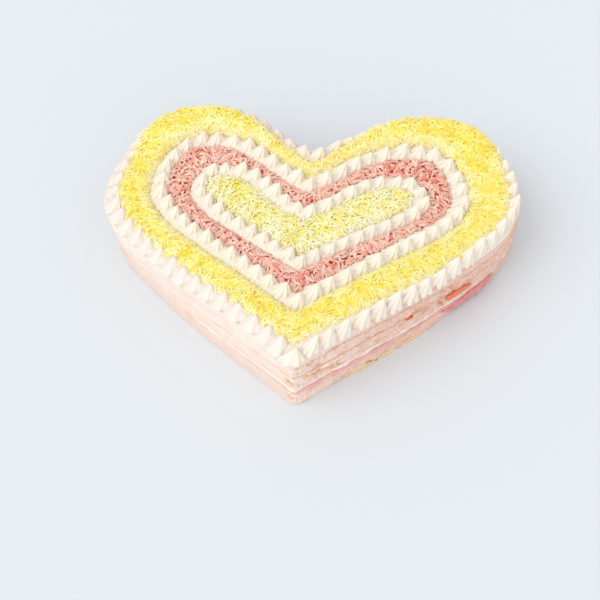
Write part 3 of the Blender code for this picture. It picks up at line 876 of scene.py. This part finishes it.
def new_group(name, inputs):
    """A Geometry Nodes group with the inputs named, its nodes and the sockets it is given."""
    group = bpy.data.node_groups.new(name, "GeometryNodeTree")
    sockets = [("Geometry", "INPUT", "Geometry")]
    sockets += [(socket, "INPUT", kind) for socket, kind in inputs.items()]
    sockets += [("Geometry", "OUTPUT", "Geometry")]
    for socket, way, kind in sockets:
        group.interface.new_socket(name=socket, in_out=way, socket_type="NodeSocket" + kind)
    nodes = Nodes(group)
    return group, nodes, nodes.add("NodeGroupInput").output


STREWN_INPUTS = dict(
    Strips="Collection", Kinds="Int", Density="Float", Tilt="Float", Lift="Float", Smallest="Float",
    Largest="Float", Seed="Int", Finish="Material",
)
UPWARD_LEAST = 0.3


def close_group(nodes, made, finish):
    dressed = nodes.add("GeometryNodeSetMaterial", {"Geometry": made, "Material": finish})
    nodes.add("NodeGroupOutput", {"Geometry": dressed})


def scatter_tree():
    """Strips strewn on the upward faces of a bed, each turned, tilted and lifted at random."""
    group, nodes, given = new_group("strewn_strips", STREWN_INPUTS)
    upward = nodes.axis(nodes.add("GeometryNodeInputNormal"), "Z")
    seed, tilt = given("Seed"), given("Tilt")
    faces = {"Mesh": given("Geometry"), "Selection": upward > UPWARD_LEAST}
    amount = {"Density": given("Density"), "Seed": seed}
    places = nodes.add("GeometryNodeDistributePointsOnFaces", {**faces, **amount})
    least, most = nodes.vector(0.0 - tilt, 0.0 - tilt, 0.0), nodes.vector(tilt, tilt, 2 * math.pi)
    turn = nodes.drawn("FLOAT_VECTOR", least, most, seed + 1)
    facing = nodes.add(
        "FunctionNodeRotateRotation",
        {"Rotation": places.output("Rotation"), "Rotate By": turn},
        {"rotation_space": "LOCAL"},
    )
    number = nodes.drawn("INT", 0, given("Kinds") - 1, seed + 3)
    size = nodes.drawn("FLOAT", given("Smallest"), given("Largest"), seed + 2)
    strewn = nodes.set_on(places, given("Strips"), number, facing, size)
    upwards = nodes.vector(0.0, 0.0, nodes.drawn("FLOAT", 0.0, given("Lift"), seed + 4))
    lifted = nodes.add(
        "GeometryNodeTranslateInstances",
        {"Instances": strewn, "Translation": upwards, "Local Space": False},
    )
    toned = nodes.add(
        "GeometryNodeStoreNamedAttribute",
        {"Geometry": lifted, "Name": "tone", "Value": nodes.drawn("FLOAT", 0.0, 1.0, seed + 5)},
        {"data_type": "FLOAT", "domain": "INSTANCE"},
    )
    real = nodes.add("GeometryNodeRealizeInstances", {"Geometry": toned})
    close_group(nodes, real, given("Finish"))
    return group


STRIP_STEPS = 3
STRIP_KINDS = 8
STRIP_SMALLEST, STRIP_LARGEST = 0.75, 1.2

# Between what limits each strip is drawn, as shares of its band's sizes and of its own length
STRIP_LENGTHS, STRIP_WIDTHS, STRIP_THICKS = (0.75, 1.2), (0.7, 1.25), (0.8, 1.15)
STRIP_BOWS, STRIP_ARCHES, STRIP_TWISTS = (-0.16, 0.16), (-0.04, 0.12), (-0.7, 0.7)


def strip_shape(name, length, width, thick, bow, arch, twist):
    """A grated strip along X, bowed sideways, arched, and twisted along its length."""
    rings = []
    for step in range(STRIP_STEPS + 1):
        t = step / STRIP_STEPS * 2 - 1
        taper = math.sqrt(max(0.12, 1 - abs(t) ** 5))
        angle = twist * t
        across = Vector((0.0, math.cos(angle), math.sin(angle))) * width / 2 * taper
        up = Vector((0.0, -math.sin(angle), math.cos(angle))) * thick / 2 * taper
        middle = Vector((t * length / 2, bow * t * t, -arch * t * t))
        rings.append([middle + a * across + b * up for a, b in ((-1, -1), (1, -1), (1, 1), (-1, 1))])
    made = mesh_object(name, *capped_ring([np.array(ring) for ring in rings]))
    return outward_faces(made, smooth=False)


def strip_kinds(name, sizes, seed):
    """A collection of strips, each bent in its own way."""
    draw = random.Random(seed)
    group = bpy.data.collections.new(name)
    for number in range(STRIP_KINDS):
        length = sizes["length"] * draw.uniform(*STRIP_LENGTHS)
        width = sizes["width"] * draw.uniform(*STRIP_WIDTHS)
        thick = sizes["thick"] * draw.uniform(*STRIP_THICKS)
        bow, arch = length * draw.uniform(*STRIP_BOWS), length * draw.uniform(*STRIP_ARCHES)
        twist = draw.uniform(*STRIP_TWISTS)
        strip = strip_shape(f"{name}_{number}", length, width, thick, bow, arch, twist)
        put_in(group, strip)
    return group


def put_in(group, thing):
    """Moves a piece out of the scene and into a collection."""
    bpy.context.scene.collection.objects.unlink(thing)
    group.objects.link(thing)


def discard(group):
    for thing in list(group.objects):
        bpy.data.objects.remove(thing, do_unlink=True)
    bpy.data.collections.remove(group)


def evaluated_mesh(thing):
    bpy.context.view_layer.update()
    graph = bpy.context.evaluated_depsgraph_get()
    return bpy.data.meshes.new_from_object(thing.evaluated_get(graph))


def grown_by(tree, name, base, **values):
    """The mesh that a node tree makes from a base object, as a plain object."""
    carrier = new_object(name, base.data)
    step = carrier.modifiers.new("scatter", "NODES")
    step.node_group = tree
    for socket in tree.interface.items_tree:
        key = socket.name.lower()
        if socket.in_out == "INPUT" and key in values:
            step[socket.identifier] = values[key]
    mesh = evaluated_mesh(carrier)
    carrier.modifiers.clear()
    mesh.name = name
    carrier.data = mesh
    return carrier


RIM_HIDDEN, RIM_FADE = 0.0015, 0.0075
BED_STEP, BED_FINE = 0.0022, 0.0005
BED_BASE, BED_RIM = 0.0002, 0.0003
LUMP_TALL, LUMP_SIZE, LUMP_SHOULDER = 0.0005, 0.007, 0.003


def bed(name, plan_loops, height, shoulder, pile):
    """A closed mound inside the outlines, on the cake's top, with the height reached a shoulder
    in from its rim. The pile is how much higher it is heaped at the back of the lobes."""
    loops = [resampled(loop, BED_STEP) for loop in plan_loops]
    low, high = loops[0].min(axis=0), loops[0].max(axis=0)
    across, along = np.arange(low[0], high[0], BED_STEP), np.arange(low[1], high[1], BED_STEP)
    grid = np.array([(x + (row % 2) * BED_STEP / 2, y) for row, y in enumerate(along) for x in across])
    within = sum(inside(loop, grid).astype(int) for loop in loops) == 1
    grid = grid[within]
    fine = [resampled(loop, BED_FINE) for loop in plan_loops]
    clear = np.min([distance_to(loop, grid) for loop in fine], axis=0) > BED_STEP / 2
    flat = np.vstack(loops + [grid[clear]])
    edges, start = [], 0
    for loop in loops:
        edges += [(start + k, start + (k + 1) % len(loop)) for k in range(len(loop))]
        start += len(loop)
    made = delaunay_2d_cdt([Vector(p) for p in flat], edges, [], 0, 0.00001)
    verts, triangles = np.array([tuple(v) for v in made[0]]), np.array(made[2])
    centres = verts[triangles].mean(axis=1)
    triangles = triangles[sum(inside(loop, centres).astype(int) for loop in loops) == 1]
    depth = np.min([distance_to(loop, verts) for loop in fine], axis=0)
    heaped = 1 + pile * back_share(verts[:, 1])
    rise = np.sin(share_over(depth, 0.0, shoulder) * math.pi / 2) * height * heaped
    lumps = LUMP_TALL * noise(np.column_stack([verts, 0 * depth]), LUMP_SIZE, 5)
    lumps *= share_over(depth, 0.0, LUMP_SHOULDER)
    bm = bmesh.new()
    tops = [bm.verts.new((x, y, BED_BASE + BED_RIM + z)) for (x, y), z in zip(verts, rise + lumps)]
    lows = [bm.verts.new((x, y, BED_BASE)) for x, y in verts]
    for a, b, c in triangles:
        bm.faces.new((tops[a], tops[b], tops[c]))
        bm.faces.new((lows[c], lows[b], lows[a]))
    border = [edge for edge in bm.edges if edge.is_boundary]
    lower = {top: bottom for top, bottom in zip(tops, lows)}
    for edge in border:
        a, b = edge.verts
        if a in lower and b in lower:
            bm.faces.new((a, b, lower[b], lower[a]))
    loose = [vert for vert in bm.verts if not vert.link_faces]
    bmesh.ops.delete(bm, geom=loose, context="VERTS")
    mesh = bpy.data.meshes.new(name)
    bm.to_mesh(mesh)
    bm.free()
    thing = outward_faces(new_object(name, mesh))
    reach = np.min([distance_to(loop, coordinates(mesh)[:, :2]) for loop in fine], axis=0)
    rim = 1 - share_over(reach, RIM_HIDDEN, RIM_FADE)
    store(mesh, "rim", rim.astype(np.float32))
    return thing


def draped(thing):
    """Sets what was made on a flat plane on top of the cake."""
    points = coordinates(thing.data)
    points[:, 2] += TOP * sink(points[:, 0])
    set_coordinates(thing.data, points)
    return thing


FRONT_FROM, FRONT_OVER = 0.010, 0.030


def spread_out(loop, back, front):
    """The outline pushed out at the back of the lobes, where the shreds bury the stars, and on
    the right front side, where they lie between the stars."""
    behind = back_share(loop[:, 1])
    ahead = (1 - behind) * share_over(loop[:, 0], FRONT_FROM, FRONT_OVER)
    return loop + outward_of(loop) * (back * behind + front * ahead)[:, None]


# The bands of shreds, between outlines moved in or out from the rows' plans
BANDS = (
    dict(
        name="cheese", node="shreds_cheese", outer=(EDGE, -0.0055), inner=(MIDDLE_ROW, 0.0055),
        height=0.0052, shoulder=0.0060, slot="cheese", look="cheese",
        strip=dict(length=0.0098, width=0.0014, thick=0.0007),
        strewn=dict(density=300000.0, tilt=0.12, lift=0.0007), seed=31, pile=1.1, spread=(0.0028, 0.0020),
    ),
    dict(
        name="ham", node="shreds_ham", outer=(MIDDLE_ROW, -0.0052), inner=(INNER_ROW, 0.0050),
        height=0.0036, shoulder=0.0050, slot="ham", look="ham_strips",
        strip=dict(length=0.0072, width=0.0015, thick=0.0009),
        strewn=dict(density=225000.0, tilt=0.38, lift=0.0015), seed=47, pile=0.0, spread=(0.0, 0.0),
    ),
    dict(
        name="centre", node="shreds_centre", outer=(INNER_ROW, -0.0048), inner=None,
        height=0.0042, shoulder=0.0060, slot="pale_cheese", look="centre",
        strip=dict(length=0.0110, width=0.0011, thick=0.0008),
        strewn=dict(density=230000.0, tilt=0.20, lift=0.0011), seed=59, pile=0.0, spread=(0.0, 0.0),
    ),
)


def make_bands(looks):
    tree = scatter_tree()
    for band in BANDS:
        loops = [grown(heart(plan), by) for plan, by in (band["outer"], band["inner"] or (None, 0)) if plan]
        loops[0] = spread_out(loops[0], *band["spread"])
        base = bed(band["name"] + "_bed", loops, band["height"], band["shoulder"], band["pile"])
        kinds = strip_kinds(band["name"] + "_strip", band["strip"], band["seed"])
        look = looks[band["look"]]
        given = dict(strips=kinds, kinds=STRIP_KINDS, smallest=STRIP_SMALLEST, largest=STRIP_LARGEST)
        given.update(band["strewn"], seed=band["seed"], finish=look)
        strips = grown_by(tree, band["name"] + "_shreds", base, **given)
        discard(kinds)
        dress(draped(strips), band["node"], look)
        # The cheese and ham beds carry painted shade for the gaps between their strips, in deeper colours
        # than the strips
        dress(draped(base), band["node"], looks[band["name"] + "_bed"])


# Piped stars

# A star's rings: the share of its height, and of its radius
STAR_RINGS = (
    (0.0, 1.04), (0.04, 1.09), (0.09, 1.07), (0.15, 1.01), (0.22, 0.94), (0.30, 0.86), (0.38, 0.77),
    (0.46, 0.68), (0.54, 0.58), (0.62, 0.48), (0.70, 0.385), (0.78, 0.29), (0.85, 0.21), (0.91, 0.14),
    (0.96, 0.08), (1.0, 0.035),
)
RIDGE_COLUMNS = 8
FOLD_SHARP, FOLD_FOOT, FOLD_FADE = 1.25, 1.35, 0.75
FOOT_DROP = 0.0006
HANG_DOWN, HANG_NARROW, HANG_INWARD = 0.62, 0.38, 0.0020


def star_shape(name, radius, height, ridges, depth, twist, slope=0.0, curl=0.0):
    """A piped star along Z: ridges with creases between them, swelling over the foot, then drawn
    in a hollow curve to a thin tip. Where slope is set, the side towards X hangs down."""
    columns = ridges * RIDGE_COLUMNS
    angles = np.arange(columns) / columns * 2 * math.pi
    rings = []
    for level, width in STAR_RINGS:
        turned = angles + twist * level
        fold = (1 - np.abs(np.sin(angles * ridges / 2))) ** FOLD_SHARP
        deep = depth * (FOLD_FOOT - FOLD_FADE * level)
        reach = radius * width * (1 - deep * fold)
        x, y = np.cos(turned) * reach, np.sin(turned) * reach
        z = np.full(columns, level * height)
        z -= (1 - fold) * FOOT_DROP * (1 - level) ** 3
        if slope:
            out = x > 0
            z = np.where(out, z - x * slope * (1 - level) * HANG_DOWN, z)
            x = np.where(out, x * (1 - HANG_NARROW * (1 - level)), x)
            x -= HANG_INWARD * level
        x += curl * level**3
        rings.append(np.column_stack([x, y, z]))
    return outward_faces(mesh_object(name, *capped_ring(rings)))


LEAN_POWER = 1.35


def row_tree():
    """Stars set on the points of a row, each with its own kind, turn and size, and all their
    tips drawn towards one side."""
    inputs = dict(Stars="Collection", Tall="Float", Lean="Vector", Finish="Material")
    group, nodes, given = new_group("piped_row", inputs)

    def named(name, kind="FLOAT"):
        return nodes.add("GeometryNodeInputNamedAttribute", {"Name": name}, {"data_type": kind})

    turn = nodes.vector(0.0, 0.0, named("turn"))
    wide = named("wide")
    size = nodes.vector(wide, wide, named("tall"))
    points = nodes.add("GeometryNodeMeshToPoints", {"Mesh": given("Geometry")})
    stars = nodes.set_on(points, given("Stars"), named("kind", "INT"), turn, size)
    real = nodes.add("GeometryNodeRealizeInstances", {"Geometry": stars})
    height = nodes.axis(nodes.add("GeometryNodeInputPosition"), "Z")
    share = (height / given("Tall")).clamped().power(LEAN_POWER) * named("draw")
    lean = nodes.add("ShaderNodeVectorMath", {0: given("Lean"), "Scale": share}, {"operation": "SCALE"})
    leant = nodes.add("GeometryNodeSetPosition", {"Geometry": real, "Offset": lean})
    close_group(nodes, leant, given("Finish"))
    return group


# How steeply the outer stars hang down, by their distance across, and the kinds made for it
HANG_AT = (0.010, 0.060, 0.110)
HANG_SLOPE = (0.15, 0.50, 0.40)
HANG_KINDS = (0.0, 0.15, 0.35, 0.50)
KINDS_EACH = 3
PLAIN_KINDS = 6
FLAT_FOLDS = 0.45

# Between what limits each kind of star, and each star of a row, is drawn
RIDGES = (6, 6, 7)
FOLD_DEPTHS, STAR_TWISTS, STAR_CURLS = (0.20, 0.30), (0.20, 0.75), (-0.0006, 0.0006)
STAR_WIDTHS, STAR_HEIGHTS, STAR_DRAWN = (0.88, 1.08), (0.80, 1.06), (0.65, 1.15)
ROW_ALONG, ROW_ACROSS = 0.0011, 0.00044

# The outer row is pressed in along the left front side, set in at the right lobe, buried in
# shreds at the back, and spaced apart on the right front side
SIDE_OVER = 0.020
LOBE_FROM, LOBE_OVER = 0.080, 0.040
PRESSED_IN, LOBE_IN = 0.0046, 0.0036
PRESSED_NARROW, APART_NARROW = 0.06, 0.15
PRESSED_LOW, BURIED_LOW = 0.22, 0.40
TIP_WIDE, TIP_TALL = 1.02, 0.78
ROW_IN = 0.0006
TIP_DRAWN = (0.0050, 0.0016, 0.0)


def star_kinds(name, kind, hanging, seed):
    """A collection of stars for one row, each with folds of its own."""
    draw = random.Random(seed)
    group = bpy.data.collections.new(name)
    slopes = [slope for slope in HANG_KINDS for _ in range(KINDS_EACH)] if hanging else [0.0] * PLAIN_KINDS
    for number, slope in enumerate(slopes):
        made = star_shape(
            f"{name}_{number:02d}",
            kind["radius"],
            kind["height"],
            draw.choice(RIDGES),
            draw.uniform(*FOLD_DEPTHS) * (FLAT_FOLDS if hanging and slope == 0 else 1.0),
            draw.uniform(*STAR_TWISTS),
            slope,
            draw.uniform(*STAR_CURLS),
        )
        put_in(group, made)
    return group


def row_points(name, loop, kind, hanging, draw):
    """The places of a row's stars, with what each star is to be as attributes."""
    length = side_lengths(loop).sum()
    even = resampled(loop, length / round(length / kind["pitch"]))
    outward = outward_of(even)
    along = np.column_stack([-outward[:, 1], outward[:, 0]])
    shifts = [(draw.uniform(-1, 1) * ROW_ALONG, draw.uniform(-1, 1) * ROW_ACROSS) for _ in even]
    shifts[0] = (0.0, 0.0)
    even = even + along * np.array(shifts)[:, :1] + outward * np.array(shifts)[:, 1:]
    buried_at = hanging * back_share(even[:, 1])
    pressed_at = hanging * share_over(-even[:, 0], 0.0, SIDE_OVER) * (1 - buried_at)
    lobe_at = hanging * share_over(even[:, 0], LOBE_FROM, LOBE_OVER)
    even = even - outward * (PRESSED_IN * pressed_at + LOBE_IN * lobe_at)[:, None]
    places = mesh_object(name, [(x, y, 0.0) for x, y in even], [])
    facts = {"turn": [], "wide": [], "tall": [], "kind": [], "draw": []}
    for number, ((x, y), (u, v)) in enumerate(zip(even, outward)):
        tip_star = hanging and number == 0
        facts["turn"].append(math.atan2(v, u) if hanging else draw.uniform(0.0, 2 * math.pi))
        buried, pressed = buried_at[number], pressed_at[number]
        apart = hanging * share_over(x, 0.0, SIDE_OVER) * (1 - buried)
        narrow = 1.0 - APART_NARROW * apart - PRESSED_NARROW * pressed
        facts["wide"].append((TIP_WIDE if tip_star else narrow) * draw.uniform(*STAR_WIDTHS))
        low = 1.0 - BURIED_LOW * buried - PRESSED_LOW * pressed
        facts["tall"].append((TIP_TALL if tip_star else low) * draw.uniform(*STAR_HEIGHTS))
        slope = np.interp(abs(x), HANG_AT, HANG_SLOPE) * (1 - pressed)
        nearest = int(np.argmin(np.abs(np.array(HANG_KINDS) - slope)))
        hung = nearest * KINDS_EACH
        facts["kind"].append(hung + draw.randrange(KINDS_EACH) if hanging else draw.randrange(PLAIN_KINDS))
        facts["draw"].append(draw.uniform(*STAR_DRAWN))
    for key, values in facts.items():
        store(places.data, key, values, "INT" if key == "kind" else "FLOAT")
    return places


# The rows, each on a low trail of cream between two outlines moved out or in from its plan
ROWS = (
    dict(
        node="stars_outer", plan=EDGE, kind=OUTER_STAR, hanging=True, look="cream_outer", seed=5,
        trail=(-0.0010, -0.0105),
    ),
    dict(
        node="stars_middle", plan=MIDDLE_ROW, kind=MIDDLE_STAR, hanging=False, look="cream", seed=6,
        trail=(0.0070, -0.0068),
    ),
    dict(
        node="stars_inner", plan=INNER_ROW, kind=INNER_STAR, hanging=False, look="cream", seed=7,
        trail=(0.0064, -0.0062),
    ),
)
TRAIL_TALL, TRAIL_SHOULDER = 0.0036, 0.0030


def make_rows(looks):
    tree = row_tree()
    for row in ROWS:
        draw = random.Random(row["seed"])
        name = row["node"].replace("stars", "piped")
        look = looks[row["look"]]
        loop = grown(heart(row["plan"]), -ROW_IN) if row["hanging"] else heart(row["plan"])
        places = row_points(name + "_places", loop, row["kind"], row["hanging"], draw)
        kinds = star_kinds(name + "_star", row["kind"], row["hanging"], row["seed"])
        tall = row["kind"]["height"]
        stars = grown_by(tree, name, places, stars=kinds, tall=tall, lean=TIP_DRAWN, finish=look)
        discard(kinds)
        bpy.data.objects.remove(places, do_unlink=True)
        dress(draped(stars), row["node"], look)
        loops = [grown(heart(row["plan"]), by) for by in row["trail"]]
        trail = bed(name.replace("piped", "cream_under"), loops, TRAIL_TALL, TRAIL_SHOULDER, 0.0)
        dress(draped(trail), row["node"], look)


# Looks, floor, light and camera

def make_looks():
    return {
        "cream": cream_finish("piped_cream", (244, 236, 222), (239, 228, 211)),
        "cream_outer": cream_finish("outer_cream", (244, 235, 223), (239, 227, 212), left=(237, 224, 214)),
        "filling": cream_finish("cream_filling", (252, 240, 229), (244, 222, 210), 0.003, 0.0005),
        # Each crumb's third colour is the painted shade of its hollows and seams
        "bread": bread_finish("bread_crumb", (249, 228, 216), (231, 194, 176), (222, 170, 146)),
        "bread_pale": bread_finish("pale_crumb", (249, 230, 217), (241, 214, 198), (224, 170, 142)),
        "ham": ham_finish("sliced_ham", (240, 194, 188), (228, 166, 162)),
        "carrot_seam": carrot_finish("carrot_filling", (238, 204, 182), (226, 158, 120), 0.85),
        "carrot": carrot_finish("cut_carrot", (242, 144, 98), (226, 104, 64)),
        "carrot_soft": carrot_finish("soft_carrot", (244, 206, 180), (238, 182, 142)),
        "ham_deep": ham_finish("ham_flap", (236, 170, 162), (218, 126, 124)),
        "foot_cheese": cream_finish("foot_cheese", (244, 216, 178), (236, 200, 152), 0.004, 0.0003),
        "slice": cream_finish("cheese_slice", (250, 222, 120), (240, 200, 96), 0.005, 0.0002),
        "cheese": shred_finish(
            "yellow_shreds", (252, 243, 170), (250, 232, 110), (248, 219, 54), (252, 246, 216)
        ),
        # The yellow bed shows in the gaps between strips; its deeper, more saturated yellow is painted
        # shade for those gaps
        "cheese_bed": shred_finish(
            "yellow_bed", (252, 223, 36), (250, 215, 24), (247, 206, 16), (252, 240, 160)
        ),
        "ham_strips": shred_finish(
            "ham_shreds", (251, 224, 208), (242, 187, 167), (226, 112, 88), (244, 203, 186)
        ),
        # The ham bed's dark red is painted shade for the gaps between the ham strips
        "ham_bed": shred_finish("ham_bed", (216, 76, 54), (204, 62, 42), (190, 48, 34), (224, 112, 92)),
        "centre": shred_finish(
            "pale_shreds", (251, 248, 223), (248, 240, 165), (246, 228, 64), (253, 250, 226)
        ),
        "centre_bed": shred_finish(
            "pale_bed", (253, 228, 36), (250, 220, 24), (246, 208, 16), (252, 240, 140)
        ),
    }


def add_camera():
    azimuth, elevation, roll = (math.radians(v) for v in (CAMERA_AZIMUTH, CAMERA_ELEVATION, CAMERA_ROLL))
    back = Vector((
        math.sin(azimuth) * math.cos(elevation),
        -math.cos(azimuth) * math.cos(elevation),
        math.sin(elevation),
    ))
    level = Vector((math.cos(azimuth), math.sin(azimuth), 0.0))
    up = level.cross(-back)
    right = math.cos(roll) * level + math.sin(roll) * up
    top = -math.sin(roll) * level + math.cos(roll) * up
    data = bpy.data.cameras.new("camera")
    data.sensor_width = CAMERA_SENSOR
    data.lens = CAMERA_LENS
    data.clip_start = 0.01
    camera = new_object("camera", data)
    turned = Matrix((right, top, back)).transposed().to_4x4()
    camera.matrix_world = Matrix.Translation(CAMERA_AT) @ turned
    bpy.context.scene.camera = camera


def add_light(name, towards, strength, spread, colour):
    """A soft distant light that shines from the side given."""
    data = bpy.data.lights.new(name, "SUN")
    data.energy = strength
    data.angle = spread
    data.color = colour
    lamp = new_object(name, data)
    lamp.rotation_euler = Vector(towards).to_track_quat("Z", "Y").to_euler()


# Lights: the side they shine from, strength, spread and colour
LIGHTS = {
    "key": ((-0.75, -0.45, 0.95), 1.10, 0.9, (1.0, 0.97, 0.94)),
    "fill": ((0.25, -1.0, 0.35), 0.70, 1.2, (1.0, 0.98, 0.96)),
}
FLOOR_HALF = 6.0
SKY_TINT, SKY_STRENGTH = (0.98, 0.99, 1.0, 1.0), 0.80


def add_stage():
    corners = [(x * FLOOR_HALF, y * FLOOR_HALF, 0) for x, y in ((-1, -1), (1, -1), (1, 1), (-1, 1))]
    floor = mesh_object("floor", corners, [(0, 1, 2, 3)])
    made, nodes, shader = new_finish("floor", 0.7)
    shader.inputs["Base Color"].default_value = (*tint(221, 227, 232), 1.0)
    floor.data.materials.append(made)
    world = bpy.data.worlds.new("sky")
    world.use_nodes = True
    sky = world.node_tree.nodes["Background"]
    sky.inputs["Color"].default_value = SKY_TINT
    sky.inputs["Strength"].default_value = SKY_STRENGTH
    bpy.context.scene.world = world
    for name, facts in LIGHTS.items():
        add_light(name, *facts)
    bpy.context.scene.view_settings.view_transform = "Standard"


def main():
    looks = make_looks()
    make_slices(looks)
    make_foot(looks)
    make_flap(looks)
    make_carrot(looks)
    make_bands(looks)
    make_rows(looks)
    add_camera()
    add_stage()


main()
